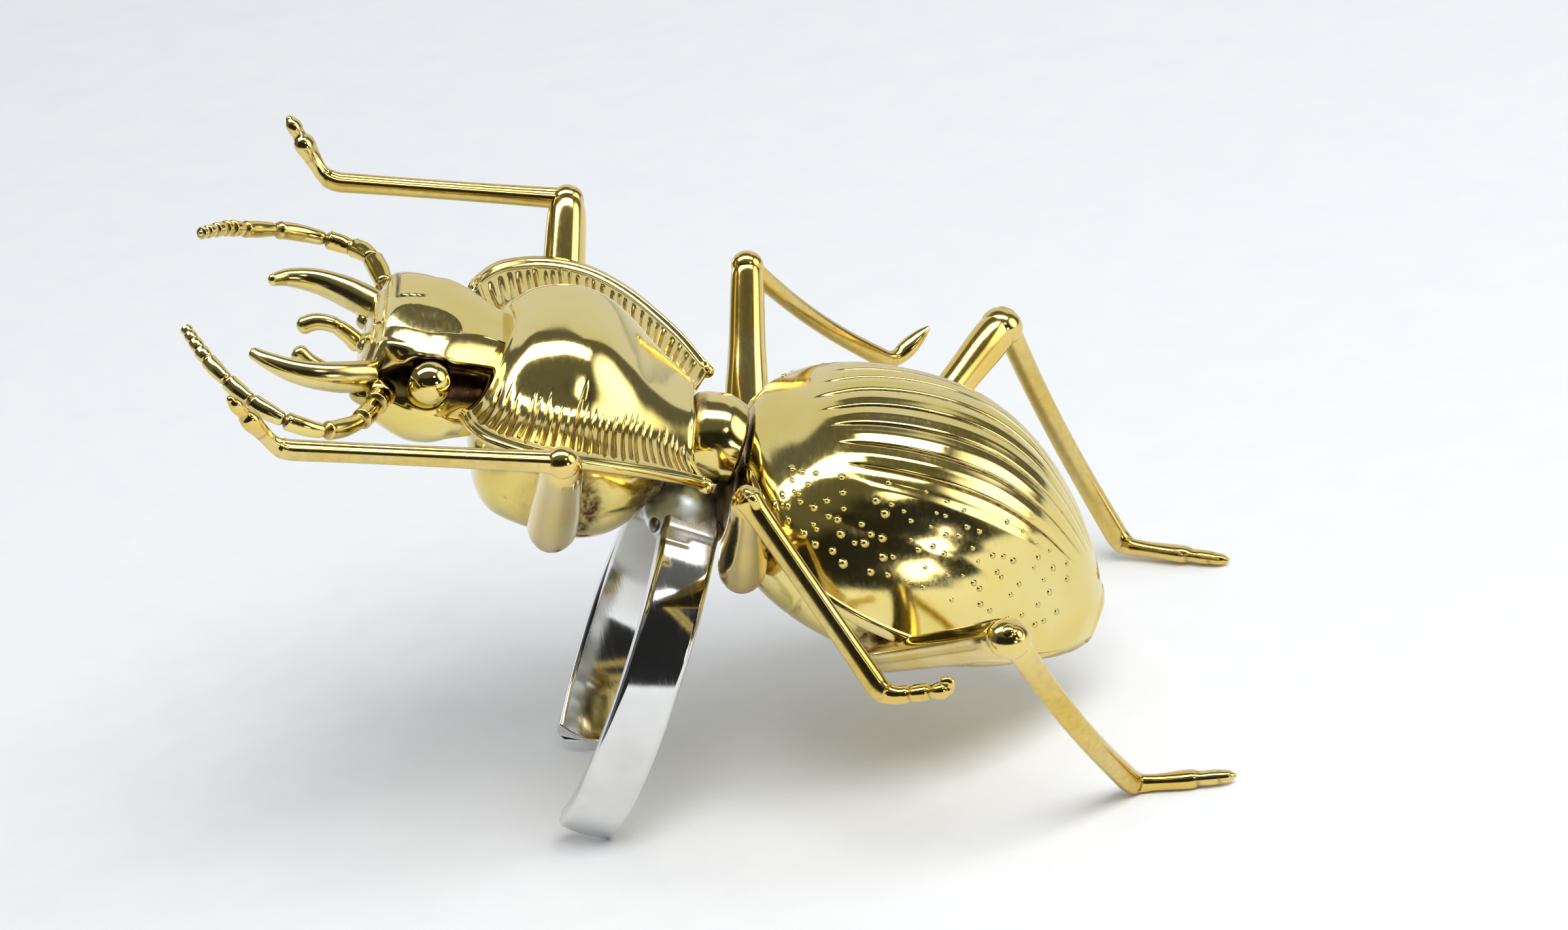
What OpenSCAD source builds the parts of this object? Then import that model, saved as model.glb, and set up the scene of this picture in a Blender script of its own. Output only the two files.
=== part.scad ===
// Open ring of white metal that carries a ground beetle of golden metal, in millimetres.
// The beetle is drawn in its own frame: centre of the finger hole at the origin, +X to the tail,
// +Y to its right side and +Z to its back. stand() then tips it back until it rests on the two
// ends of the band and on the two hind feet, with the floor at Z = 0.

/* [Band] */
// Inside radius of the finger hole
bore_r = 8.9; // [8.4:0.1:9.4]
// Thickness of the band
band_t = 1.3; // [1.1:0.1:1.5]
// Width of the band along the finger
band_w = 2.9; // [2.4:0.1:3.2]
// How far the outside of the band sits off centre towards the beetle, so that its ends are thinner
taper = 0.25; // [0.1:0.05:0.3]
// Where the left end of the band stops, in degrees from straight down
end_left = 42; // [38:1:46]
// Where the right end stops
end_right = 31; // [29:1:35]
// Small bevel along both edges of the band
band_bevel = 0.22; // [0.1:0.02:0.3]
// Radius of the two domes of solder on top of the band
dome_r = 1.75; // [1.5:0.05:1.8]

/* [Hind body] */
// Half width of the wing cases at their widest
elytra_hw = 9.3; // [8.8:0.1:9.6]
// Depth of the grooves that run along the wing cases
groove_d = 0.13; // [0.05:0.01:0.16]
// Angle between two neighbouring grooves, in degrees
groove_step = 9.6; // [9:0.1:10]
// Grooves on each side of the one in the middle
groove_n = 4; // [2:1:5]

/* [Fore body] */
// Half width of the shield across its flanges
shield_hw = 11.3; // [10.6:0.1:11.6]
// Number of flutes along each flange
flute_n = 26; // [20:1:28]
// Height of the flutes above and below the flange
flute_d = 0.11; // [0.04:0.01:0.14]
// Thickness of the flange
flange_t = 0.75; // [0.6:0.05:0.9]
// Radius of each eye
eye_r = 1.1; // [0.9:0.05:1.15]

/* [Hidden] */

// Seam between two castings
seam = 0.06;
// The origin of the part is the middle of its footprint, on the floor
shift_x = -6.53;
shift_y = 0.27;
// Outside radius of the band, about a centre that is raised by taper
band_r = bore_r + band_t - taper;

gold = "goldenrod";
silver = "silver";

// Smooth curve through the rows of a table: u counts rows, col picks the column
function pick(t, i, col) = t[max(0, min(len(t) - 1, i))][col];
function spline(t, u, col) =
    let (i = min(floor(u), len(t) - 2), f = u - i,
         a = pick(t, i - 1, col), b = pick(t, i, col), c = pick(t, i + 1, col), d = pick(t, i + 2, col))
    b + 0.5 * f * (c - a + f * (2 * a - 5 * b + 4 * c - d + f * (3 * (b - c) + d - a)));

// Row number at which column 0 of a table passes a value
function row_at(t, v, i = 0) =
    i >= len(t) - 2 || v < t[i + 1][0]
    ? i + (v - t[i][0]) / (t[i + 1][0] - t[i][0])
    : row_at(t, v, i + 1);
function value_at(t, v, col) = spline(t, row_at(t, v), col);

// One point of a rounded section: s = 1 is an ellipse, smaller s is more square
function oval(a, half, up, down, s) =
    [half * sign(cos(a)) * pow(abs(cos(a)), s),
     (sin(a) > 0 ? up : -down) * pow(abs(sin(a)), s)];

// Closed skin over rings of equal length, with a point at each end
module skin(rings, first, last) {
    n = len(rings[0]);
    m = len(rings);
    pts = concat([for (r = rings) for (p = r) p], [first, last]);
    side = [for (i = [0:m - 2]) for (j = [0:n - 1]) let (k = (j + 1) % n)
            for (f = [[i * n + j, (i + 1) * n + j, (i + 1) * n + k],
                      [i * n + j, (i + 1) * n + k, i * n + k]]) f];
    caps = [for (j = [0:n - 1]) let (k = (j + 1) % n)
            for (f = [[m * n, j, k], [m * n + 1, (m - 1) * n + k, (m - 1) * n + j]]) f];
    polyhedron(points = pts, faces = concat(side, caps), convexity = 6);
}

// Body lofted along X. Columns of the table: x, half width, z of the widest level,
// height above it, depth below it, squareness
module loft(t, steps, sides) {
    last = len(t) - 1;
    rings = [for (i = [0:steps])
        let (u = last * i / steps, x = spline(t, u, 0), half = spline(t, u, 1), mid = spline(t, u, 2),
             up = spline(t, u, 3), down = spline(t, u, 4), s = spline(t, u, 5))
        [for (j = [0:sides - 1])
            let (p = oval(360 * j / sides, half, up, down, s)) [x, p[0], mid + p[1]]]];
    nose = t[0][0] - 0.15 * t[0][1];
    tail = t[last][0] + 0.15 * t[last][1];
    skin(rings, [nose, 0, t[0][2]], [tail, 0, t[last][2]]);
}

// Rod through a list of [point, half width, half height], round in section
function unit(v) = v / norm(v);
module rod(rows, sides) {
    m = len(rows);
    way = [for (i = [0:m - 1]) unit(rows[min(m - 1, i + 1)][0] - rows[max(0, i - 1)][0])];
    rings = [for (i = [0:m - 1])
        let (up = unit([0, 0, 1] - way[i][2] * way[i]), side = cross(up, way[i]))
        [for (j = [0:sides - 1])
            let (a = 360 * j / sides)
            rows[i][0] + rows[i][1] * cos(a) * side + rows[i][2] * sin(a) * up]];
    skin(rings, rows[0][0] - way[0] * rows[0][1] * 0.4, rows[m - 1][0] + way[m - 1] * rows[m - 1][1] * 0.4);
}

// A point given for the left side, on the side that is asked for (-1 left, 1 right)
function sided(p, side) = [p[0], -side * p[1], p[2]];

// Radius of the short round tongue in which each end of the band runs out
tongue_r = 2.4;
// The corner of a band end that touches the floor: angle of the end, side (-1 left, 1 right)
function end_corner(a, side) =
    let (x = band_w / 2 - band_bevel,
         r = sqrt(band_r * band_r - pow(taper * sin(a), 2)) - taper * cos(a),
         past = sqrt(tongue_r * tongue_r - x * x) - sqrt(tongue_r * tongue_r - band_w * band_w / 4),
         way = a - past / r * 180 / PI)
    [x, side * r * sin(way), -r * cos(way)];

// The floor, in the beetle's frame, goes through both band ends and the left heel
heel_drop = [-0.25, 0, 0.43];
touch_left = end_corner(end_left, -1);
touch_right = end_corner(end_right, 1);
touch_heel = [24.25, -11.7, 7.1] - heel_drop;
up = unit(cross(touch_heel - touch_left, touch_right - touch_left));
pitch = atan2(-up[0], up[2]);
roll = atan2(up[1], norm([up[0], up[2]]));
hole_up = -up * touch_left;

function on_floor(x, y) = [x, y, (up * touch_left - up[0] * x - up[1] * y) / up[2]] + heel_drop;

// Places the beetle's frame on the floor
module stand() {
    translate([shift_x, shift_y, hole_up]) rotate([roll, 0, 0]) rotate([0, pitch, 0]) children();
}

// What is cut away at the bottom: a wedge, less the tongue at each end of the band
module opening() {
    reach = 2 * band_r;
    back = asin(sqrt(tongue_r * tongue_r - band_w * band_w / 4) / band_r);
    difference() {
        rotate([0, 90, 0]) translate([0, 0, -band_w]) linear_extrude(2 * band_w)
            polygon([[0, 0], [reach * cos(end_right), reach * sin(end_right)], [reach, 0],
                     [reach * cos(end_left), -reach * sin(end_left)]]);
        for (a = [end_right + back, -end_left - back])
            rotate([180 + a, 0, 0]) translate([0, 0, bore_r - 1]) cylinder(r = tongue_r, h = band_t + 2, $fn = 64);
    }
}

// The band, turned about the finger and opened at the bottom, with solder domed up on its top
module band() {
    h = band_w / 2;
    color(silver) stand() difference() {
        union() {
            translate([0, 0, taper]) rotate([0, 90, 0]) rotate_extrude($fn = 96)
                polygon([[0, -h], [band_r - band_bevel, -h], [band_r, band_bevel - h],
                         [band_r, h - band_bevel], [band_r - band_bevel, h], [0, h]]);
            for (s = [-1, 1]) translate([0.15, 1.25 * s, bore_r + 0.05]) sphere(r = dome_r, $fn = 48);
        }
        rotate([0, 90, 0]) translate([0, 0, -band_w]) cylinder(r = bore_r, h = 2 * band_w, $fn = 96);
        opening();
    }
}

// Side flange of the shield, from front tip to rear tip.
// Columns: place along the shield 0 to 1, half width as a share of the widest, z of the flange, z of the dome
shield_t = [
    [0.00, 0.655, 13.95, 16.3],
    [0.05, 0.800, 14.15, 16.8],
    [0.12, 0.905, 14.40, 17.3],
    [0.25, 0.982, 14.75, 17.8],
    [0.38, 1.000, 15.00, 17.9],
    [0.50, 0.972, 15.10, 17.6],
    [0.63, 0.905, 15.00, 16.9],
    [0.75, 0.815, 14.75, 16.1],
    [0.88, 0.705, 14.35, 15.4],
    [1.00, 0.585, 13.75, 15.0]];
// Front and rear edge of the shield in the middle and at the flange tips
shield_front = -11.7;
shield_rear = -1.75;
tip_front = -13.5;
tip_rear = -0.5;
// Share of the half width where the dome meets the flange, and where the rim bead starts
dome_foot = 0.62;
bead_at = 0.92;
trough = 0.35;

function shield_x(u, v) =
    let (c = shield_front + (shield_rear - shield_front) * u, r = tip_front + (tip_rear - tip_front) * u)
    c + (r - c) * pow(abs(v), 1.6);
function flange_z(u) = value_at(shield_t, u, 2) - trough;
function shield_dome(u, v) =
    abs(v) >= dome_foot ? 0
    : (value_at(shield_t, u, 3) - flange_z(u)) * pow(cos(90 * abs(v) / dome_foot), 0.85);
function shield_rim(v) = abs(v) < dome_foot ? 0 : trough * pow((abs(v) - dome_foot) / (1 - dome_foot), 2);
function flute(u, v) =
    abs(v) > dome_foot - 0.04 && abs(v) < bead_at ? flute_d * cos(360 * flute_n * u) : 0;

module pronotum() {
    nu = 2 * flute_n;
    half = [0.2, 0.38, 0.53, dome_foot, 0.76, 0.88, 0.95, 1];
    vs = concat([for (i = [len(half) - 1:-1:0]) -half[i]], [0], half);
    nv = len(vs);
    top = [for (i = [0:nu]) for (v = vs) let (u = i / nu)
        [shield_x(u, v), v * value_at(shield_t, u, 1) * shield_hw,
         flange_z(u) + shield_dome(u, v) + shield_rim(v) + flute(u, v)
         + (abs(v) > bead_at && abs(v) < 1 ? 0.12 : 0)]];
    low = [for (i = [0:nu]) for (v = vs) let (u = i / nu)
        [shield_x(u, v), v * value_at(shield_t, u, 1) * shield_hw,
         flange_z(u) + shield_rim(v) - flange_t * (1 - 0.35 * abs(v))]];
    q = (nu + 1) * nv;
    sheet = [for (i = [0:nu - 1]) for (j = [0:nv - 2])
             let (a = i * nv + j, b = a + 1, c = a + nv, d = c + 1)
             for (f = [[a, b, d], [a, d, c], [q + a, q + d, q + b], [q + a, q + c, q + d]]) f];
    ends = [for (j = [0:nv - 2]) let (a = j, b = j + 1, c = nu * nv + j, d = c + 1)
            for (f = [[a, q + a, q + b], [a, q + b, b], [c, d, q + d], [c, q + d, q + c]]) f];
    sides = [for (i = [0:nu - 1]) let (a = i * nv, c = a + nv, b = a + nv - 1, d = b + nv)
             for (f = [[a, c, q + c], [a, q + c, q + a], [b, q + b, q + d], [b, q + d, d]]) f];
    color(gold) stand()
        polyhedron(points = concat(top, low), faces = concat(sheet, ends, sides), convexity = 8);
}

// Underside of the fore body
// Columns: x, half width, z of the widest level, height above it, depth below it, squareness
prosternum_t = [
    [-11.5, 3.6, 10.3, 1.6, 1.6, 0.90],
    [-11.1, 4.6, 10.6, 2.1, 3.0, 0.85],
    [-10.0, 5.5, 10.6, 2.6, 4.0, 0.85],
    [ -8.4, 5.9, 10.4, 3.3, 4.0, 0.85],
    [ -6.4, 5.9, 10.4, 3.4, 4.0, 0.85],
    [ -4.6, 5.4, 10.6, 3.0, 3.8, 0.85],
    [ -3.2, 4.5, 11.0, 2.2, 3.1, 0.85],
    [ -2.3, 3.4, 11.6, 1.3, 2.1, 0.90]];
module prosternum() {
    color(gold) stand() loft(prosternum_t, 14, 28);
}

// Head, with a round socket on each side for the eye
head_t = [
    [-18.0, 3.6, 12.4, 1.9, 1.9, 0.85],
    [-17.5, 4.4, 12.4, 2.8, 2.7, 0.85],
    [-16.6, 4.8, 12.5, 3.4, 3.2, 0.85],
    [-15.3, 5.0, 12.7, 3.8, 3.6, 0.85],
    [-13.6, 4.9, 12.8, 3.6, 3.3, 0.85],
    [-12.6, 3.8, 13.0, 2.7, 2.5, 0.85]];
eye_at = [-15.2, -5.0, 13.8];
module head() {
    color(gold) stand() difference() {
        loft(head_t, 12, 28);
        for (s = [-1, 1]) translate(sided(eye_at, s)) sphere(r = eye_r + seam, $fn = 24);
    }
}
module eye(s) {
    color(gold) stand() translate(sided(eye_at, s)) sphere(r = eye_r, $fn = 32);
}

// Jaw, from its root to its point. Columns: x, y on the left side, z, half width, half height
mandible_t = [
    [-18.3, -4.2, 12.4, 0.95, 0.95],
    [-19.6, -4.9, 12.4, 0.85, 0.90],
    [-20.7, -5.3, 12.4, 0.72, 0.75],
    [-21.8, -5.3, 12.3, 0.55, 0.58],
    [-22.8, -4.9, 12.2, 0.38, 0.38],
    [-23.7, -4.2, 12.1, 0.18, 0.18]];
module mandible(s) {
    last = len(mandible_t) - 1;
    color(gold) stand() rod([for (i = [0:10])
        let (u = last * i / 10)
        [sided([spline(mandible_t, u, 0), spline(mandible_t, u, 1), spline(mandible_t, u, 2)], s),
         spline(mandible_t, u, 3), spline(mandible_t, u, 4)]], 10);
}

// Feeler of the mouth. Columns: x, y on the left side, z, half thickness
palp_t = [
    [-18.7, -1.5, 11.6, 0.40],
    [-19.8, -1.5, 11.6, 0.36],
    [-20.8, -1.4, 11.8, 0.38],
    [-21.6, -1.3, 12.1, 0.26]];
module palp(s) {
    last = len(palp_t) - 1;
    color(gold) stand() rod([for (i = [0:6])
        let (u = last * i / 6)
        [sided([spline(palp_t, u, 0), spline(palp_t, u, 1), spline(palp_t, u, 2)], s),
         spline(palp_t, u, 3), spline(palp_t, u, 3)]], 8);
}

// Antennae as they were bent, from root to tip. Columns: point, half thickness of a segment
antenna_left_t = [
    [[-17.2, -5.05, 12.4], 0.50],
    [[-18.2, -8.0, 12.1], 0.42],
    [[-19.8, -10.1, 12.1], 0.36],
    [[-21.4, -10.6, 12.2], 0.36],
    [[-22.8, -10.4, 12.3], 0.36],
    [[-24.4, -9.4, 12.4], 0.36],
    [[-26.2, -7.7, 12.7], 0.34],
    [[-27.6, -5.6, 13.0], 0.26]];
antenna_right_t = [
    [[-17.2, 5.05, 12.6], 0.50],
    [[-18.2, 9.2, 13.0], 0.42],
    [[-19.9, 10.9, 12.8], 0.36],
    [[-21.8, 10.9, 12.7], 0.36],
    [[-23.4, 10.1, 12.7], 0.36],
    [[-25.0, 8.7, 12.7], 0.36],
    [[-26.3, 7.3, 12.8], 0.34],
    [[-27.5, 5.7, 12.9], 0.26]];
segments = 11;
// One segment from neck to neck. Columns: share of the segment, share of the thickness
bead_t = [[0, 0.62], [0.3, 0.85], [0.8, 1.0]];
module antenna(t) {
    last = len(t) - 1;
    color(gold) stand() rod([for (k = [0:segments - 1]) for (b = bead_t)
        let (u = last * (k + b[0]) / segments, r = b[1] * spline(t, u, 1))
        [spline(t, u, 0), r, r]], 8);
}

// Neck between the fore body and the wing cases
waist_t = [
    [-1.4, 2.1, 13.2, 1.8, 1.8, 1],
    [-0.9, 2.4, 13.1, 2.1, 2.1, 1],
    [ 0.2, 2.5, 13.1, 2.3, 2.25, 1],
    [ 1.1, 2.4, 13.1, 2.0, 2.1, 1]];
module waist() {
    color(gold) stand() loft(waist_t, 8, 24);
}

// Wing cases. Columns: x, half width as a share of the widest, z of the side rim, z of the top, squareness
elytra_t = [
    [ 1.6, 0.30, 13.6, 14.9, 0.90],
    [ 2.2, 0.56, 13.4, 15.3, 0.90],
    [ 3.2, 0.80, 12.7, 16.1, 0.92],
    [ 4.6, 0.93, 11.9, 17.3, 0.95],
    [ 6.5, 0.99, 11.2, 18.3, 0.97],
    [ 9.0, 1.00, 10.6, 18.9, 0.97],
    [11.5, 0.97, 10.2, 19.0, 0.97],
    [14.0, 0.90, 10.0, 18.5, 0.97],
    [16.5, 0.78, 9.9, 17.2, 0.97],
    [18.8, 0.60, 9.7, 15.2, 0.97],
    [20.5, 0.39, 9.6, 13.1, 0.97],
    [21.5, 0.20, 9.5, 11.5, 0.97]];
rim_drop = 0.5;
function groove(a) =
    let (k = (a - 90) / groove_step)
    abs(k - round(k)) < 0.1 && abs(round(k)) <= groove_n ? groove_d : 0;
module elytra_shell() {
    last = len(elytra_t) - 1;
    steps = 22;
    arc = groove_step / 3;
    // Angles of the upper side, then a few points of the flat underside
    over = [for (k = [-28:28]) 90 - k * arc];
    function ring_at(u) =
        let (x = spline(elytra_t, u, 0), half = elytra_hw * spline(elytra_t, u, 1),
             rim = spline(elytra_t, u, 2), rise = spline(elytra_t, u, 3) - rim, s = spline(elytra_t, u, 4))
        concat(
            [for (k = [28:-1:-28]) let (a = 90 - k * arc, p = oval(a, half, rise, 0, s),
                                         g = groove(a) * min(1, rise / 3))
                [x, p[0] - g * cos(a), rim + p[1] - g * sin(a)]],
            [for (f = [-0.98, -0.5, 0, 0.5, 0.98]) [x, f * half, rim - rim_drop]]);
    rings = [for (i = [0:steps]) ring_at(last * i / steps)];
    skin(rings, [1.52, 0, 14.1], [21.9, 0, 10.0]);
}
module elytra() {
    color(gold) stand() elytra_shell();
}

// Underside of the hind body. Columns: x, half width, z of the widest level, height above, depth below, squareness
belly_t = [
    [ 1.9, 2.6, 11.2, 1.3, 1.7, 0.90],
    [ 2.6, 4.2, 10.8, 1.5, 2.5, 0.85],
    [ 4.2, 5.8, 10.2, 1.5, 3.2, 0.85],
    [ 7.0, 6.9, 9.7, 1.2, 3.7, 0.85],
    [10.5, 7.1, 9.2, 0.95, 3.6, 0.85],
    [14.0, 6.8, 9.1, 0.6, 2.9, 0.85],
    [17.0, 5.8, 9.1, 0.4, 1.9, 0.85],
    [19.5, 4.0, 9.0, 0.15, 0.8, 0.90]];
module belly() {
    color(gold) stand() difference() {
        loft(belly_t, 14, 28);
        translate([0, 0, -seam]) elytra_shell();
    }
}

// Joints of the legs in the beetle's frame, each side as it was bent. Columns: hip, knee, ankle, toe
front_left = [[-7.1, -6.8, 8.75], [-9.0, -15.3, 16.75], [-22.3, -15.6, 13.1], [-25.4, -16.7, 15.5]];
front_right = [[-7.1, 6.8, 8.75], [-9.25, 15.3, 16.45], [-21.4, 15.6, 13.2], [-24.2, 16.7, 15.5]];
mid_left = [[2.8, -5.9, 9.2], [0.5, -13.5, 16.9], [9.45, -18.6, 11.3], [12.1, -19.6, 13.2]];
mid_right = [[3.1, 5.9, 9.3], [0.55, 13.5, 16.7], [10.5, 18.6, 11.7], [11.8, 19.7, 13.5]];
hind_left = [[10.5, -7.5, 7.5], [14.3, -18.1, 16.1], touch_heel + heel_drop, [28.65, -12.7, 9.7]];
hind_right = [[9.5, 7.5, 7.5], [15.2, 18.1, 15.9], on_floor(25.97, 17.87), [30.5, 14.45, 8.1]];

// Half thickness along the three parts of a leg. Columns: share of the part, half thickness in mm
femur_t = [[0.00, 0.95], [0.10, 1.22], [0.33, 1.25], [0.60, 1.02], [0.88, 0.90], [0.97, 0.80], [1.02, 0.45]];
hind_femur_t = [[0.00, 0.60], [0.10, 0.78], [0.40, 0.86], [0.75, 0.80], [0.92, 0.82], [0.98, 0.72], [1.02, 0.42]];
tibia_t = [[-0.03, 0.42], [0.00, 0.62], [0.06, 0.56], [0.25, 0.52], [0.50, 0.50], [0.75, 0.50], [0.94, 0.52], [1.00, 0.50]];
tarsus_t = [[0.06, 0.46], [0.20, 0.40], [0.24, 0.34], [0.38, 0.42], [0.42, 0.33], [0.56, 0.42],
            [0.60, 0.33], [0.74, 0.42], [0.78, 0.32], [0.92, 0.40], [1.00, 0.24]];
function along(a, b, f) = a + (b - a) * f;
// A leg has its joints, its thigh, how much stouter its shin is, and how far the shin bows outwards
module leg(joints, femur, stout = 1, bow = 0) {
    out = sign(joints[0][1]) * bow;
    color(gold) stand() {
        rod([for (r = femur) [along(joints[0], joints[1], r[0]), r[1], r[1]]], 10);
        rod(concat([for (r = tibia_t)
                       [along(joints[1], joints[2], r[0]) + [0, out * sin(180 * max(0, r[0])), 0],
                        r[1] * stout, r[1] * stout]],
                   [for (r = tarsus_t) [along(joints[2], joints[3], r[0]), r[1], r[1]]]), 8);
    }
}

band();
pronotum();
prosternum();
head();
eye(-1);  // eye_left
eye(1);  // eye_right
mandible(-1);  // mandible_left
mandible(1);  // mandible_right
palp(-1);  // palp_left
palp(1);  // palp_right
antenna(antenna_left_t);  // antenna_left
antenna(antenna_right_t);  // antenna_right
waist();
elytra();
belly();
leg(front_left, femur_t);  // leg_front_left
leg(front_right, femur_t);  // leg_front_right
leg(mid_left, femur_t, 1.15);  // leg_mid_left
leg(mid_right, femur_t);  // leg_mid_right
leg(hind_left, hind_femur_t, 1.22, 1.1);  // leg_hind_left
leg(hind_right, hind_femur_t, 1.22, 1.1);  // leg_hind_right
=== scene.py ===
import math

import bpy
import numpy as np
from mathutils import Matrix, Vector


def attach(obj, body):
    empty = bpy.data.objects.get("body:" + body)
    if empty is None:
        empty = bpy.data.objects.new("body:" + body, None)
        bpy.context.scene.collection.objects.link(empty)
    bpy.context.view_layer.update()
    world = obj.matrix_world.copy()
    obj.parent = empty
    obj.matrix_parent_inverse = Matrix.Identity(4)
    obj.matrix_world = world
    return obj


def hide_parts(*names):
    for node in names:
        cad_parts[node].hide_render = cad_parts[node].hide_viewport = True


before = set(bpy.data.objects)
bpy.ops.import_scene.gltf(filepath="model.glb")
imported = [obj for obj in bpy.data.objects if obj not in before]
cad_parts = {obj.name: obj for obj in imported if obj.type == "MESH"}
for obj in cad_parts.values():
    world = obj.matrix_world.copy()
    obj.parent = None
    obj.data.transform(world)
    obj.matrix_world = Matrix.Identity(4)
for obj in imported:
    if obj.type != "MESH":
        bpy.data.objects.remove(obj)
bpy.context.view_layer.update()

# The band is an open ring of white metal, bent from flat stock and filed thinner towards its ends.
# It was polished along its length, which left fine hair scratches and two bright bevels.
BORE = 8.9
BAND_WIDTH = 2.9
OUTSIDE_RADIUS = 9.95
OUTSIDE_RISE = 0.25  # how far the outside is shifted up, which makes the ends thinner
LEFT_END = 42  # degrees from the bottom
RIGHT_END = 31
END_ROUND = 2.4  # radius of each end, seen flat
BEVEL = 0.2
OUTSIDE_CROWN = 0.045
INSIDE_CROWN = 0.03
LEDGE = 0.16
LEDGE_AT = 26.5  # degrees from the top
# How dark the painted shade at the top of the band is.
BAND_TOP_SHADE = 0.55
TIPPED_BACK = math.radians(30.168)
LEANING = math.radians(4.661)
HOLE_CENTRE = np.array([-6.53, 0.27, 7.474])
MM_PER_METRE = 1000


def turned(points):
    """Turns upright points (mm from the middle of the finger hole, tail at +X) to how the ring lies."""
    x, y, z = np.moveaxis(np.asarray(points, float), -1, 0)
    ct, st = math.cos(TIPPED_BACK), math.sin(TIPPED_BACK)
    cl, sl = math.cos(LEANING), math.sin(LEANING)
    x, z = x * ct + z * st, z * ct - x * st
    y, z = y * cl - z * sl, y * sl + z * cl
    return np.stack([x, y, z], -1)


def settled(points):
    """The same, on the table and in metres."""
    return (turned(points) + HOLE_CENTRE) / MM_PER_METRE


def step(low, high, value):
    """0 below low, 1 above high and smooth between; the other way round where low is above high."""
    t = np.clip((value - low) / (high - low), 0, 1)
    return t * t * (3 - 2 * t)


def hump(value, middle, spread):
    """A bell-shaped rise to 1 about the middle."""
    return np.exp(-((value - middle) / spread) ** 2)


def resized(ring, share, moved=(0, 0, 0)):
    """The ring drawn in to a share of its size, and moved."""
    middle = ring.mean(0)
    return middle + (ring - middle) * share + np.array(moved)


class Casting:
    """Points and faces of one piece, with how far each point is darkened, by real tarnish and by painted
    shade.
    """

    def __init__(self):
        self.points, self.grime_and_shade, self.faces, self.count = [], [], [], 0

    def add(self, points, faces, grime_and_shade):
        """Adds a closed skin, turned right side out if its faces enclose less than nothing."""
        volume = 0.0
        for k in (1, 2):
            a, b, c = points[faces[:, 0]], points[faces[:, k]], points[faces[:, k + 1]]
            volume += np.einsum("ij,ij->i", a - points[0], np.cross(b - points[0], c - points[0])).sum()
        if volume < 0:
            faces = faces[:, ::-1]
        self.faces += (faces + self.count).tolist()
        self.points.append(points)
        self.grime_and_shade.append(grime_and_shade)
        self.count += len(points)

    def add_tube(self, rings, grime_and_shade=0.0):
        """A tube through rings of points, closed by a point at each end."""
        rings = np.asarray(rings, float)
        rows, around = rings.shape[:2]
        grime_and_shade = np.broadcast_to(grime_and_shade[:, None] if np.ndim(grime_and_shade) == 1 else grime_and_shade, (rows, around))
        tips = np.stack([rings[0].mean(0), rings[-1].mean(0)])
        points = np.concatenate([rings.reshape(-1, 3), tips])
        dirt_and_shade = np.concatenate([grime_and_shade.ravel(), [grime_and_shade[0].mean(), grime_and_shade[-1].mean()]])
        i, j = np.meshgrid(np.arange(rows - 1), np.arange(around), indexing="ij")
        k = (j + 1) % around
        sides = np.stack([i * around + j, (i + 1) * around + j, (i + 1) * around + k, i * around + k], -1)
        j, k = j[0], k[0]
        last = (rows - 1) * around
        caps = [np.stack([np.full(around, rows * around), j, k, k], -1),
                np.stack([np.full(around, rows * around + 1), last + k, last + j, last + j], -1)]
        self.add(points, np.concatenate([sides.reshape(-1, 4), *caps]), dirt_and_shade)

    def piece(self, name, finish, nodes=()):
        """Makes the object; a face that names one point twice is a triangle."""
        points = settled(np.concatenate(self.points))
        faces = [f[:3] if f[2] == f[3] else (f[1:] if f[0] == f[1] else f) for f in self.faces]
        mesh = bpy.data.meshes.new(name)
        mesh.from_pydata(points.tolist(), [], faces)
        mesh.polygons.foreach_set("use_smooth", [True] * len(mesh.polygons))
        mark = mesh.attributes.new("grime_and_shade", "FLOAT", "POINT")
        mark.data.foreach_set("value", np.concatenate(self.grime_and_shade).astype(np.float32))
        mesh.materials.append(finish.material)
        mesh.update()
        obj = bpy.data.objects.new(name, mesh)
        bpy.context.collection.objects.link(obj)
        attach(obj, "root")
        if nodes:
            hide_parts(*nodes)


def add_node(tree, kind, inputs=(), **settings):
    """A new node; an input that is given a socket is linked to it."""
    made = tree.nodes.new("ShaderNode" + kind)
    for key, value in settings.items():
        setattr(made, key, value)
    for key, value in dict(inputs).items():
        if isinstance(value, bpy.types.NodeSocket):
            tree.links.new(value, made.inputs[key])
        else:
            made.inputs[key].default_value = value
    return made


def blend(tree, amount, a, b):
    """Colour a where amount is 0, b where it is 1."""
    made = add_node(tree, "Mix", data_type="RGBA")
    tree.links.new(amount, made.inputs["Factor"])
    for name, value in (("A", a), ("B", b)):
        socket = next(s for s in made.inputs if s.name == name and s.type == "RGBA")
        if isinstance(value, bpy.types.NodeSocket):
            tree.links.new(value, socket)
        else:
            socket.default_value = (*value, 1.0)
    return next(s for s in made.outputs if s.type == "RGBA")


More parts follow.
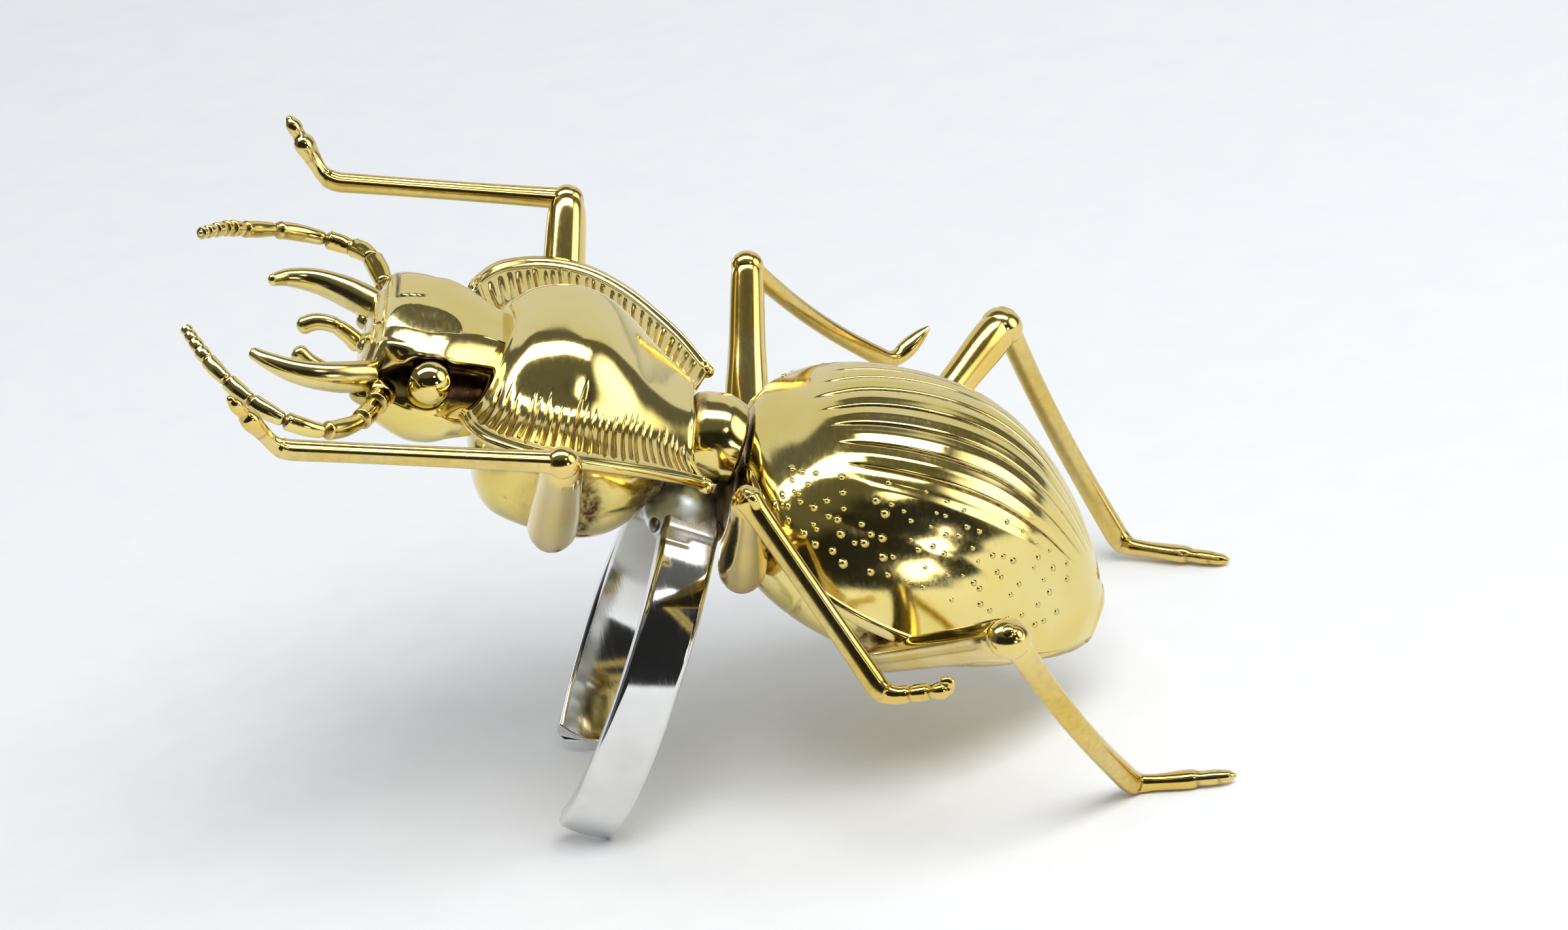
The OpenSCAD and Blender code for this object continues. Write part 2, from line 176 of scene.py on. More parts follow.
class Finish:
    """A metal surface: nodes are added one by one and linked into the metal shader."""

    def __init__(self, name):
        self.material = bpy.data.materials.new(name)
        self.material.use_nodes = True
        self.tree = self.material.node_tree
        self.metal = self.tree.nodes["Principled BSDF"]
        self.metal.inputs["Metallic"].default_value = 1.0
        self.place = add_node(self.tree, "TexCoord").outputs["Object"]
        # The mask read here holds real tarnish and painted shade together.
        self.grime_and_shade = add_node(self.tree, "Attribute", attribute_name="grime_and_shade").outputs["Fac"]

    def node(self, kind, inputs, **settings):
        return add_node(self.tree, kind, inputs, **settings).outputs[0]

    def grain(self, per_mm, stretch=(1, 1, 1), turn=(0, 0, 0), detail=3.0, rough=0.5):
        """Cloudy noise with so many cells to a millimetre, squeezed along each axis by stretch."""
        scale = [MM_PER_METRE * per_mm * s for s in stretch]
        spread = self.node("Mapping", {"Vector": self.place, "Scale": scale, "Rotation": turn})
        return self.node("TexNoise", {
            "Vector": spread, "Scale": 1.0, "Detail": detail, "Roughness": rough})

    def between(self, value, low, high, to_low, to_high):
        """Moves values from one range to another and keeps them inside it."""
        return self.node("MapRange", {
            "Value": value, "From Min": low, "From Max": high, "To Min": to_low, "To Max": to_high})

    def sum(self, a, b):
        return self.node("Math", {0: a, 1: b}, operation="ADD", use_clamp=True)

    def product(self, a, b):
        return self.node("Math", {0: a, 1: b}, operation="MULTIPLY")

    def mix(self, amount, a, b):
        return blend(self.tree, amount, a, b)

    def colour(self, value):
        self.tree.links.new(value, self.metal.inputs["Base Color"])

    def roughness(self, value):
        self.tree.links.new(value, self.metal.inputs["Roughness"])

    def relief(self, height, depth_mm, strength):
        """Adds a bump on top of the ones before it."""
        inputs = {"Height": height, "Distance": depth_mm / MM_PER_METRE, "Strength": strength}
        under = self.metal.inputs["Normal"].links
        if under:
            inputs["Normal"] = under[0].from_socket
        self.tree.links.new(self.node("Bump", inputs), self.metal.inputs["Normal"])


white = Finish("polished_white_metal")
wear = white.grain(0.35, detail=2)
hair = white.grain(7, stretch=(1, 0.06, 0.06), turn=(0, -TIPPED_BACK, 0), detail=5, rough=0.7)
dull = white.product(
    white.between(hair, 0.5, 0.8, 0, 1), white.between(wear, 0.4, 0.7, 0.2, 1))
# Random wear, and the painted shade at the top of the band, turn the metal brown.
wear_and_shade = white.sum(white.grime_and_shade, white.between(wear, 0.35, 0.75, 0, 0.25))
white.colour(white.mix(wear_and_shade, (0.8, 0.8, 0.785), (0.3, 0.25, 0.19)))
white.roughness(white.sum(
    white.between(dull, 0, 1, 0.08, 0.24), white.between(white.grime_and_shade, 0, 1, 0, 0.35)))
white.relief(hair, 0.004, 0.35)
white.relief(wear, 0.05, 0.25)

half_band = BAND_WIDTH / 2
flat = np.linspace(-half_band + BEVEL, half_band - BEVEL, 27)
bevelled = [(half_band - 0.13, 1, -0.03), (half_band - 0.04, 1, -0.1), (half_band, 1, -BEVEL)]
inner_edge = [(half_band, 0.5, 0), (half_band, 0, 0.12), (half_band - 0.05, 0, 0.04),
              (half_band - 0.14, 0, 0)]
outer_face = [(y, 1, OUTSIDE_CROWN * (1 - (y / half_band) ** 2)) for y in flat]
inner_face = [(y, 0, -INSIDE_CROWN * (1 - (y / half_band) ** 2)) for y in flat[::-1]]
near_edge = [(-y, k, d) for y, k, d in (bevelled + inner_edge)[::-1]]
section = np.array(outer_face + bevelled + inner_edge + inner_face + near_edge)
across, outwards, lift = section.T
end_round = np.sqrt(END_ROUND ** 2 - across ** 2) - math.sqrt(END_ROUND ** 2 - half_band ** 2)
share = np.linspace(0, 1, 361)[:, None]
first = -math.pi + math.radians(LEFT_END) - end_round / OUTSIDE_RADIUS
last = math.pi - math.radians(RIGHT_END) + end_round / OUTSIDE_RADIUS
sweep = first * (1 - share) + last * share
outside = OUTSIDE_RISE * np.cos(sweep) + np.sqrt(OUTSIDE_RADIUS ** 2 - (OUTSIDE_RISE * np.sin(sweep)) ** 2)
degrees = np.degrees(np.abs(sweep))
ledge = LEDGE * step(LEDGE_AT - 1.5, LEDGE_AT - 4.5, degrees)
ledge = ledge - 0.1 * hump(degrees, LEDGE_AT, 1.1) * step(0.3, -0.2, across)
level = BORE + (outside - BORE) * outwards + lift + ledge * (outwards == 1)
band_x = np.broadcast_to(across, level.shape)
band_rings = np.stack([band_x, level * np.sin(sweep), level * np.cos(sweep)], -1)
closing = (0.1, 0.55, 0.88, 0.97)
band_rings = np.concatenate([
    [resized(band_rings[0], size) for size in closing], band_rings,
    [resized(band_rings[-1], size) for size in closing[::-1]]])
from_top = np.degrees(np.abs(np.arctan2(band_rings[..., 1], band_rings[..., 2])))
band = Casting()
# Painted shade: the band is darkened towards its top, under the beetle and next to the solder.
band.add_tube(band_rings, BAND_TOP_SHADE * step(34, 25, from_top))
band.piece("open_band", white, ["band"])

# The solder is a lump of duller white metal that was melted between the band and the beetle.
# It froze as two smooth domes side by side; dark brown lumps in its corners and in the gap under the waist
# are painted shade.
solder_metal = Finish("melted_solder")
skin = solder_metal.grain(3.5, detail=4)
spots = solder_metal.between(solder_metal.grain(1.1), 0.6, 0.85, 0, 0.15)
# Random spots are real stains; the mask adds the painted shade of the dark lumps.
stain_and_shade = solder_metal.sum(solder_metal.grime_and_shade, spots)
solder_metal.colour(solder_metal.mix(stain_and_shade, (0.77, 0.83, 0.85), (0.16, 0.1, 0.05)))
solder_metal.roughness(solder_metal.between(skin, 0.3, 0.7, 0.36, 0.54))
solder_metal.relief(skin, 0.03, 0.5)


def full_turn(count):
    return np.linspace(0, 2 * math.pi, count, endpoint=False)[None, :]


def blob(casting, centre, radii, around=44, up=28, lumps=(), grime_and_shade=0.0):
    """A ball squeezed to three radii; each lump swells it about a direction."""
    v = np.linspace(0.02, math.pi - 0.02, up)[:, None]
    u = full_turn(around)
    way = np.stack([np.sin(v) * np.cos(u), np.sin(v) * np.sin(u), np.cos(v) * np.ones_like(u)], -1)
    size = np.ones(way.shape[:2])
    for direction, height, spread in lumps:
        d = np.array(direction) / np.linalg.norm(direction)
        size += height * np.exp((way @ d - 1) / spread)
    casting.add_tube(np.array(centre) + way * np.array(radii) * size[..., None], grime_and_shade)


solder = Casting()
for side in (-1, 1):
    blob(solder, (-0.45, 1.45 * side, 9.25), (1.95, 2.15, 1.7), around=72, up=46,
         lumps=[((-1, side, -0.2), 0.08, 0.1), ((1, 0.6 * side, -0.3), 0.05, 0.12)])
# Painted shade: dark brown lumps in the corners beside the band and under the waist.
for shade_lump_at, radii, brown in (((-1.75, -2.9, 8.95), (0.3, 0.75, 0.45), 0.8),
                              ((1.45, -2.3, 9.3), (0.35, 0.9, 0.6), 0.9),
                              ((1.6, -1.0, 10.4), (0.75, 1.9, 1.6), 0.9)):
    blob(solder, shade_lump_at, radii, grime_and_shade=brown)
solder.piece("solder_domes", solder_metal)

# The shield behind the head is one golden casting: a high smooth dome between two wide flanges.
# Flutes were cut into each flange by hand, one by one, and run up to a plain polished rim bead.


def golden(name, clean=(0.75, 0.595, 0.175), pale=(0.79, 0.665, 0.275), dirt_and_shade=(0.2, 0.085, 0.03),
           smooth=0.1, worn=0.2, dirt_rough=0.35, wave=0.05, specks=0.0, thin=0.35):
    """Polished golden metal, cloudy warm and pale, turned brown where the mask says so: real tarnish, and
    painted shade (thin: how patchily).
    """
    gold = Finish(name)
    cloud = gold.grain(0.22, detail=2)
    fine = gold.grain(2.6, detail=4)
    dust_and_shade = gold.product(gold.grime_and_shade, gold.between(fine, 0.25, 0.7, thin, 1.25))
    if specks:
        dust_and_shade = gold.sum(dust_and_shade, gold.between(gold.grain(0.9, detail=5, rough=0.7), 0.62, 0.7, 0, specks))
    body = gold.mix(gold.between(cloud, 0.35, 0.65, 0, 1), clean, pale)
    gold.colour(gold.mix(dust_and_shade, body, dirt_and_shade))
    hairs = gold.grain(5.0, stretch=(1, 0.25, 0.6), turn=(0.4, 0.2, 0.9), detail=5, rough=0.75)
    gold.roughness(gold.sum(
        gold.between(hairs, 0.45, 0.8, smooth, worn), gold.between(dust_and_shade, 0.1, 1, 0, dirt_rough)))
    gold.relief(gold.grain(0.8, detail=1), 0.05, wave)
    gold.relief(hairs, 0.003, 0.1)
    return gold


def bent(table, count):
    """Smooth curve through the rows of a table, sampled evenly from row to row."""
    rows = np.asarray(table, float)
    u = np.linspace(0, len(rows) - 1, count)
    i = np.minimum(u.astype(int), len(rows) - 2)
    f = (u - i)[:, None]
    a, b = rows[np.maximum(i - 1, 0)], rows[i]
    c, d = rows[i + 1], rows[np.minimum(i + 2, len(rows) - 1)]
    return b + 0.5 * f * (c - a + f * (2 * a - 5 * b + 4 * c - d + f * (3 * (b - c) + d - a)))


shield_gold = golden("fluted_shield_gold", dirt_and_shade=(0.3, 0.13, 0.07))
SHIELD_HALF = 11.3
SHIELD = [  # share along, half width, flange height, dome height
    [0, 0.655, 13.95, 16], [0.05, 0.8, 14.15, 16.65], [0.12, 0.905, 14.4, 17.25],
    [0.25, 0.982, 14.75, 17.8], [0.38, 1, 15, 17.9], [0.5, 0.972, 15.1, 17.6],
    [0.63, 0.905, 15, 16.9], [0.75, 0.815, 14.75, 16.1], [0.88, 0.705, 14.35, 15.4],
    [1, 0.585, 13.75, 15]]
FRONT_MIDDLE, REAR_MIDDLE, FRONT_TIP, REAR_TIP = -11.7, -1.75, -13.5, -0.5
FLANK = [  # share out from the middle, slope in degrees
    [0, 0], [0.24, 12], [0.292, 26], [0.36, 38], [0.42, 48], [0.47, 53], [0.51, 48], [0.55, 36],
    [0.6, 20], [0.66, 7], [0.74, 0], [1, 0]]
DOME_FOOT = 0.6  # share out from the middle
TROUGH = 0.35
FLANGE_THICKNESS = 0.72
RIM_BEAD_HEIGHT = 0.17
FLUTES = 26
FLUTE_WIDTH = 0.005  # share of the shield's length
FLUTE_DEPTH = 0.15
RIDGE_HEIGHT = 0.05

rng = np.random.default_rng(26)
table = bent(SHIELD, 1201)
along = np.linspace(0, 1, 391)[:, None]
from_middle = np.concatenate([
    np.arange(0, 0.46, 0.023), np.arange(0.46, 0.88, 0.025), np.linspace(0.88, 1, 19)])
over = np.concatenate([-from_middle[:0:-1], from_middle])[None, :]
off = np.abs(over)
width, flange, crown = (np.interp(along, table[:, 0], table[:, c]) for c in (1, 2, 3))
flange = flange - TROUGH
shield_x = FRONT_MIDDLE + (REAR_MIDDLE - FRONT_MIDDLE) * along
shield_x = shield_x + (FRONT_TIP + (REAR_TIP - FRONT_TIP) * along - shield_x) * off ** 1.6
shield_y = over * width * SHIELD_HALF
flank_off = np.linspace(0, 1, 801)
fall = np.cumsum(np.tan(np.radians(np.interp(flank_off, *np.array(FLANK).T))))
dome = (crown - flange) * (1 - np.interp(off, flank_off, (fall - fall[0]) / (fall[-1] - fall[0])))
upturn = TROUGH * np.clip((off - DOME_FOOT) / (1 - DOME_FOOT), 0, 1) ** 2
bead = RIM_BEAD_HEIGHT * hump(off, 0.962, 0.02) - 0.05 * hump(off, 0.915, 0.016)
margin = 0.1 * hump(along, 0.012, 0.01) + 0.08 * hump(along, 0.985, 0.011)
cut = np.zeros((along.size, over.size))
for side in (-1, 1):
    for k in range(FLUTES):
        at = 0.035 + (k + 0.5 + rng.uniform(-0.16, 0.16)) * 0.93 / FLUTES
        start = 0.485 + rng.uniform(-0.05, 0.05) + 0.07 * abs(k / FLUTES - 0.45)
        stop = 0.925 - rng.uniform(0, 0.05)
        lean = rng.uniform(-0.016, 0.016) + 0.02 * (k / FLUTES - 0.4)
        wide = FLUTE_WIDTH * rng.uniform(0.75, 1.3) * (0.75 + 0.5 * off)
        line = np.exp(-np.abs((along - at - lean * (off - 0.75)) / wide) ** 1.6)
        reach = step(start, start + 0.07, off) * step(stop, stop - 0.05, off)
        cut = np.maximum(cut, line * reach * rng.uniform(0.6, 1.1) * (np.sign(over) == side))
ridge = RIDGE_HEIGHT * step(0.5, DOME_FOOT, off) * step(0.94, 0.9, off) * (1 - cut)
top_z = flange + dome + upturn + bead + margin + ridge - FLUTE_DEPTH * cut
low_z = flange + upturn - FLANGE_THICKNESS * (1 - 0.35 * off)
top_sheet, low_sheet = (np.stack([shield_x, shield_y, z], -1) for z in (top_z, low_z))
# Painted shade: the flute cuts and the dip inside the rim bead are darkened, and the underside is painted
# darker in slow waves.
top_shade = np.clip(0.9 * cut ** 2.2 + 0.25 * hump(off, 0.925, 0.012), 0, 1)
underside_shade = 0.3 + 0.25 * np.sin(9 * along + 4 * over)


def sandwich(casting, top, low, top_shade, underside_shade, bulge):
    """Two sheets over the same grid, joined round their border by a rounded rim."""
    rows, cols = top.shape[:2]
    border = ([(0, j) for j in range(cols)] + [(i, cols - 1) for i in range(1, rows)]
              + [(rows - 1, j) for j in range(cols - 2, -1, -1)] + [(i, 0) for i in range(rows - 2, 0, -1)])
    edge = np.array([i * cols + j for i, j in border])
    i, j = np.meshgrid(np.arange(rows - 1), np.arange(cols - 1), indexing="ij")
    a = (i * cols + j).ravel()
    quads = np.stack([a, a + 1, a + cols + 1, a + cols], -1)
    top, low = top.reshape(-1, 3), low.reshape(-1, 3)
    middle = top.mean(0)
    rim_points, rings = [], [edge]
    for down in (0.25, 0.5, 0.75):
        ring = top[edge] * (1 - down) + low[edge] * down
        out = np.cross(np.roll(ring, -1, 0) - np.roll(ring, 1, 0), [0, 0, 1.0])
        out /= np.linalg.norm(out, axis=1)[:, None]
        out *= np.sign(((ring - middle) * out).sum(1))[:, None]
        rings.append(2 * len(top) + len(rim_points) * len(edge) + np.arange(len(edge)))
        rim_points.append(ring + out * bulge * 4 * down * (1 - down))
    rings.append(edge + len(top))
    walls = [np.stack([upper, lower, np.roll(lower, -1), np.roll(upper, -1)], -1)
             for upper, lower in zip(rings[:-1], rings[1:])]
    casting.add(np.concatenate([top, low, *rim_points]),
                np.concatenate([quads, quads[:, ::-1] + len(top), *walls]),
                np.concatenate([top_shade.ravel(), underside_shade.ravel(), np.full(3 * len(edge), 0.08)]))


shield = Casting()
sandwich(shield, top_sheet, low_sheet, top_shade, underside_shade, 0.09)
for side in (-1, 1):
    rear_corner = top_sheet[-1, 0 if side < 0 else -1]
    blob(shield, rear_corner + np.array([-0.1, -0.12 * side, -0.28]), (0.42, 0.4, 0.4), grime_and_shade=0.1)
shield.piece("fluted_shield", shield_gold, ["pronotum"])

# Under the shield the chest is a smooth golden bulge, cast with the beetle and only quickly polished.
# It is painted dark brown and black as shade round the roots of the front legs, and towards its rear where
# the solder meets it.
chest_gold = golden("chest_gold", smooth=0.14, worn=0.26, dirt_and_shade=(0.09, 0.045, 0.02), specks=0.5)
CHEST = [  # x, half width, widest level, height above, depth below, squareness
    [-11.5, 3.6, 10.3, 1.6, 1.6, 0.9], [-11.1, 4.6, 10.6, 2.1, 3, 0.85],
    [-10, 5.5, 10.6, 2.6, 4, 0.85], [-8.4, 5.9, 10.4, 3.3, 4, 0.85],
    [-6.4, 5.9, 10.4, 3.4, 4, 0.85], [-4.6, 5.4, 10.6, 3, 3.8, 0.85],
    [-3.2, 4.5, 11, 2.2, 3.1, 0.85], [-2.3, 3.4, 11.6, 1.3, 2.1, 0.9]]
FRONT_LEG_ROOT = (-7.1, 5.6, 9.6)
RAISED_LINE = 0.07
END_BULGE = 0.15  # how far a body's end stands out, as a share of its half width


def oval(angle, half, up, down, square):
    c, s = np.cos(angle), np.sin(angle)
    return (half * np.sign(c) * np.abs(c) ** square,
            np.where(s > 0, up, down) * np.sign(s) * np.abs(s) ** square)


def lofted(table, rows, around):
    """Rings of a body along X, with a few more that round off both ends."""
    t = bent(table, rows)
    y, z = oval(full_turn(around), *(t[:, c:c + 1] for c in (1, 3, 4, 5)))
    rings = np.stack([np.broadcast_to(t[:, :1], y.shape), y, t[:, 2:3] + z], -1)
    front, back = [], []
    for k in (0.2, 0.45, 0.7, 0.88, 0.97):
        for ring, way, group in ((rings[0], -1, front), (rings[-1], 1, back)):
            out = way * END_BULGE * np.ptp(ring[:, 1]) / 2 * k
            group.append(resized(ring, math.sqrt(1 - k * k), (out, 0, 0)))
    return np.concatenate([front[::-1], rings, back])


def off_root(rings, root, squeeze=(1, 1, 1)):
    """How far each point is from the root of the leg on its own side."""
    return np.linalg.norm((rings * [1, 0, 1] + np.abs(rings) * [0, 1, 0] - root) * squeeze, axis=-1)


chest_rings = lofted(CHEST, 120, 120)
# Painted shade round the roots of the front legs and towards the rear.
behind_thigh = 0.25 + 0.75 * step(-7.0, -6.2, chest_rings[..., 0])
chest_shade = 1.1 * hump(off_root(chest_rings, FRONT_LEG_ROOT, (1, 0.6, 1)), 1.65, 0.6) * behind_thigh
chest_shade += 0.8 * step(-4.2, -2.6, chest_rings[..., 0])
chest_rings[..., 2] += RAISED_LINE * hump(chest_rings[..., 1], 0, 0.25) * (chest_rings[..., 2] < 9)
chest = Casting()
chest.add_tube(chest_rings, np.clip(chest_shade, 0, 1))
chest.piece("chest", chest_gold, ["prosternum"])

# The head is a golden casting, broad and flat on top, with a sharp brow over each eye.
# A lens-shaped dent is carved beside its left brow, and an L-shaped crease across the top in front.
head_gold = golden("head_gold", dirt_and_shade=(0.05, 0.024, 0.012), dirt_rough=0.15, thin=0.9)
HEAD = [  # x, top, brow half width, brow level, recess depth, cheek half width, cheek level, bottom
    [-18.15, 14.9, 3.35, 12.85, 0.05, 3.7, 12, 10.6],
    [-17.9, 15.45, 4, 13.25, 0.25, 4.2, 11.9, 10],
    [-17.3, 15.75, 4.4, 13.85, 0.6, 4.5, 11.8, 9.6],
    [-16.4, 15.9, 4.55, 14.6, 0.9, 4.75, 11.7, 9.3],
    [-15.2, 15.95, 4.5, 15, 0.95, 4.9, 11.6, 9.1],
    [-14, 15.95, 4.15, 15, 0.95, 4.8, 11.7, 9.3],
    [-13, 15.8, 3.6, 14.9, 0.75, 4.4, 11.8, 9.8],
    [-12, 15.6, 3.1, 14.75, 0.45, 3.9, 12, 10.3],
    [-11.3, 15.4, 2.9, 14.6, 0.4, 3.5, 12, 10.6]]
EYE = (-15.2, 5.0, 13.8)
EYE_RADIUS = 1.1
DENT_SLOPE = 0.28
CREASE_X = -17.65
CREASE_WIDTH = 0.09
CREASE_DEPTH = 0.12
SOCKET_COLLAR = 0.09


def around_head(row):
    """Right half of the head's section, from the top to the bottom, as a smooth line."""
    x, top, brow, brow_z, recess, cheek, cheek_z, bottom = row
    crown = top - min(top - brow_z - 0.75, 0.3)
    between = (brow_z + cheek_z) / 2
    return bent([
        (0, top), (brow * 0.3, top * 0.82 + crown * 0.18), (brow * 0.52, top * 0.45 + crown * 0.55),
        (brow - 1.5, crown), (brow - 1.05, crown - 0.17), (brow - 0.6, crown - 0.4),
        (brow - 0.15, crown - 0.68), (brow, brow_z - 0.06), (brow - 0.22 * recess, brow_z - 0.3),
        (brow - 0.95 * recess, brow_z - 0.5), (brow - 1.15 * recess, between + 0.45),
        (cheek - 0.85 * recess, between - 0.25), (cheek - 0.15, cheek_z + 0.55), (cheek, cheek_z),
        (cheek - 0.22, cheek_z - 0.9), (cheek * 0.8, bottom + 0.75), (cheek * 0.5, bottom + 0.15),
        (0, bottom)], 160)


rows = bent(HEAD, 190)
right = np.array([around_head(row) for row in rows])
both_sides = np.concatenate([right, right[:, -2:0:-1] * [-1, 1]], axis=1)
head_x = np.broadcast_to(rows[:, None, :1], both_sides.shape[:2] + (1,))
head_rings = np.concatenate([head_x, both_sides], -1)
x, y, z = np.moveaxis(head_rings, -1, 0)  # views: what moves these moves the rings
off_middle = np.abs(y)
on_top = step(13.6, 14.4, z)
dent_along = (x + 16.1) / 1.85
dent_reach = 2.4 * np.sqrt(np.clip(1 - dent_along ** 2, 0, 1))
into_dent = 3.2 - 0.5 * ((x + 16.3) / 1.9) ** 2 - off_middle
scoop = DENT_SLOPE * np.clip(dent_reach - into_dent, 0, None) * step(-0.01, 0.09, into_dent)
scoop += 0.02 * hump(into_dent, 1.5, 0.35) * hump(dent_along, 0.1, 0.35)
z -= scoop * on_top * (dent_reach > 0) * (y < 0)
short_arm = hump(x, CREASE_X, CREASE_WIDTH) * step(-0.4, -0.2, y) * step(3.5, 3.2, y)
long_arm = hump(y, 0.28 * (x - CREASE_X) - 0.3, CREASE_WIDTH)
long_arm *= step(-17.75, -17.6, x) * step(-16.1, -16.5, x)
crease = np.clip(short_arm + long_arm, 0, 1) * on_top
z -= CREASE_DEPTH * crease
from_eye = np.linalg.norm(np.stack([x, off_middle, z], -1) - EYE, axis=-1)
y += np.sign(y) * SOCKET_COLLAR * step(15.2, 14.6, z) * hump(from_eye, 1.62, 0.2)
brow_level = np.interp(x, *np.array(HEAD).T[[0, 3]])
# Painted shade: the recess under each brow, a ring round each eye and the crease are darkened nearly black.
under_brow = step(1.25, 0.8, np.abs(z - 13.75)) * step(2.2, 3.0, off_middle) * step(-18.3, -17.6, x)
under_brow *= step(0.0, 0.35, brow_level - z)
head_shade = np.clip(under_brow + 0.9 * step(1.55, 1.4, from_eye) + 0.8 * crease, 0, 1)
mouth = [resized(head_rings[0], share, (-out, 0, 0))
         for share, out in ((0.35, 0.36), (0.62, 0.33), (0.8, 0.25), (0.93, 0.12))]
neck = [resized(head_rings[-1], share, (out, 0, 0))
        for share, out in ((0.94, 0.05), (0.8, 0.1), (0.5, 0.12))]
around = head_rings.shape[1]
# Painted shade: the back of the head, where it goes under the shield, is darker.
head = Casting()
head.add_tube(np.concatenate([mouth, head_rings, neck]), np.concatenate([
    np.zeros((len(mouth), around)), head_shade, np.full((len(neck), around), 0.4)]))
# Painted shade: a dark ball behind each eye fills its socket.
for side in (-1, 1):
    blob(head, (EYE[0], 4.05 * side, EYE[2]), (1.0, 0.9, 1.0), grime_and_shade=0.9)
blob(head, (-18.15, 0.0, 12.3), (0.62, 0.7, 0.62), grime_and_shade=0.05)
blob(head, (-18.0, 0.0, 14.3), (0.5, 1.9, 0.45), grime_and_shade=0.05)
for side in (-1, 1):
    blob(head, (-17.8, 1.9 * side, 13.0), (0.6, 0.9, 1.0), grime_and_shade=0.15)
    blob(head, (-18.0, 4.1 * side, 11.75), (0.75, 0.75, 0.6), grime_and_shade=0.3, lumps=[((-1, 0, -1), 0.12, 0.1)])
    blob(head, (-17.3, 4.65 * side, 12.3), (0.8, 0.72, 0.72), grime_and_shade=0.3, lumps=[((0, side, 1), 0.12, 0.08)])
head.piece("horned_head", head_gold, ["head"])

# Each eye is a plain ball of golden metal, cast with the head and polished brightest of all.
# It sits low in a round collar under the brow, the right one a little deeper.
eye_gold = golden("eye_gold", smooth=0.05, worn=0.1)
for side, label, set_in in ((-1, "left", 0.0), (1, "right", 0.35)):
    eye = Casting()
    blob(eye, (EYE[0], (EYE[1] - set_in) * side, EYE[2] - set_in / 2), (EYE_RADIUS,) * 3, around=72, up=48)
    eye.piece("ball_eye_" + label, eye_gold, ["eye_" + label])

# The jaws are two golden horns, bent inwards and ground to a point, with a rib along the lower edge.
# They were cast with the head; file marks and a few brown specks are left on their inner faces.
jaw_gold = golden("jaw_gold", smooth=0.14, specks=0.25)
JAW = [  # x, y, z, half width, half height
    [-18, 4, 12.65, 0.72, 0.8], [-19.4, 4.8, 12.6, 0.68, 0.72], [-20.6, 5.25, 12.5, 0.62, 0.62],
    [-21.7, 5.3, 12.4, 0.54, 0.52], [-22.7, 4.95, 12.3, 0.44, 0.42], [-23.4, 4.4, 12.2, 0.3, 0.3]]
JAW_ROWS = 90
JAW_RIB = 0.16
NOSE = (0.35, 0.65, 0.88, 0.98)  # where the rings of a rounded end stand, as shares of its length
NOSE_LENGTH = 0.8  # in radii


def swept(path, radius_a, radius_b, around, shape=None, upwards=(0, 0, 1)):
    """Rings across a path: radius_a goes sideways, radius_b up; shape(angle, share) scales them."""
    ahead = np.gradient(path, axis=0)
    ahead /= np.linalg.norm(ahead, axis=1)[:, None]
    up = np.array(upwards) - ahead * (ahead @ np.array(upwards))[:, None]
    up /= np.linalg.norm(up, axis=1)[:, None]
    side = np.cross(up, ahead)
    angle = full_turn(around)
    size = shape(angle, np.linspace(0, 1, len(path))[:, None]) if shape else 1
    a, b = (np.broadcast_to(radius, len(path))[:, None] * size for radius in (radius_a, radius_b))
    return (path[:, None, :] + (a * np.cos(angle))[..., None] * side[:, None, :]
            + (b * np.sin(angle))[..., None] * up[:, None, :])


def rounded_ends(rings):
    """Adds shrinking rings so that a tube ends in a round nose on both sides."""
    noses = []
    for ring, inner in ((rings[0], rings[1]), (rings[-1], rings[-2])):
        way = ring.mean(0) - inner.mean(0)
        way *= NOSE_LENGTH * np.linalg.norm(ring - ring.mean(0), axis=1).mean() / np.linalg.norm(way)
        noses.append([resized(ring, math.sqrt(1 - k * k), way * k) for k in NOSE])
    return np.concatenate([noses[0][::-1], rings, noses[1]])


def lobe(angle, middle, spread):
    """The same rise as hump, but on a circle."""
    return hump(np.angle(np.exp(1j * (angle - middle))), 0, spread)


def jaw_shape(angle, share):
    rib = JAW_RIB * lobe(angle, -1.35, 0.22) * step(0.0, 0.2, share) * step(0.95, 0.6, share)
    return 1 + rib - 0.06 * np.cos(2 * (angle - 0.5))


for side, label, longer in ((-1, "left", 0.5), (1, "right", 0.0)):
    t = bent(JAW, JAW_ROWS)
    path = t[:, :3] * [1, side, 1]
    path[:, 0] -= longer * np.linspace(0, 1, JAW_ROWS) ** 2
    rings = rounded_ends(swept(path, t[:, 3], t[:, 4], 48, jaw_shape))
    jaw = Casting()
    # Painted shade: each jaw is a little darker towards its root, where it meets the head.
    jaw.add_tube(rings, np.linspace(0.25, 0.0, len(rings)))
    jaw.piece("jaw_" + label, jaw_gold, ["mandible_" + label])

# The palps are two short golden feelers under the jaws, cast thick and rubbed round at their tips.
# Each has one faint joint line and was bent a little differently.
palp_gold = golden("palp_gold", smooth=0.18, worn=0.28, specks=0.2)
PALPS = {  # x, y, z, radius
    "left": [[-18.6, -1.5, 10.9, 0.5], [-19.3, -1.5, 10.95, 0.46], [-20.1, -1.5, 11.05, 0.44],
             [-20.9, -1.45, 11.2, 0.46], [-21.45, -1.35, 11.45, 0.46]],
    "right": [[-18.6, 1.5, 11.6, 0.5], [-19.3, 1.5, 11.95, 0.44], [-20.1, 1.45, 12.2, 0.42],
              [-20.9, 1.4, 12.1, 0.44], [-21.45, 1.3, 11.75, 0.46]]}
PALP_ROWS = 60
JOINT_AT = 0.42
for label, bends in PALPS.items():
    t = bent(bends, PALP_ROWS)
    radius = t[:, 3] * (1 - 0.1 * hump(np.linspace(0, 1, PALP_ROWS), JOINT_AT, 0.03))
    palp = Casting()
    palp.add_tube(rounded_ends(swept(t[:, :3], radius, radius, 32)), 0.1)
    palp.piece("cast_palp_" + label, palp_gold, ["palp_" + label])

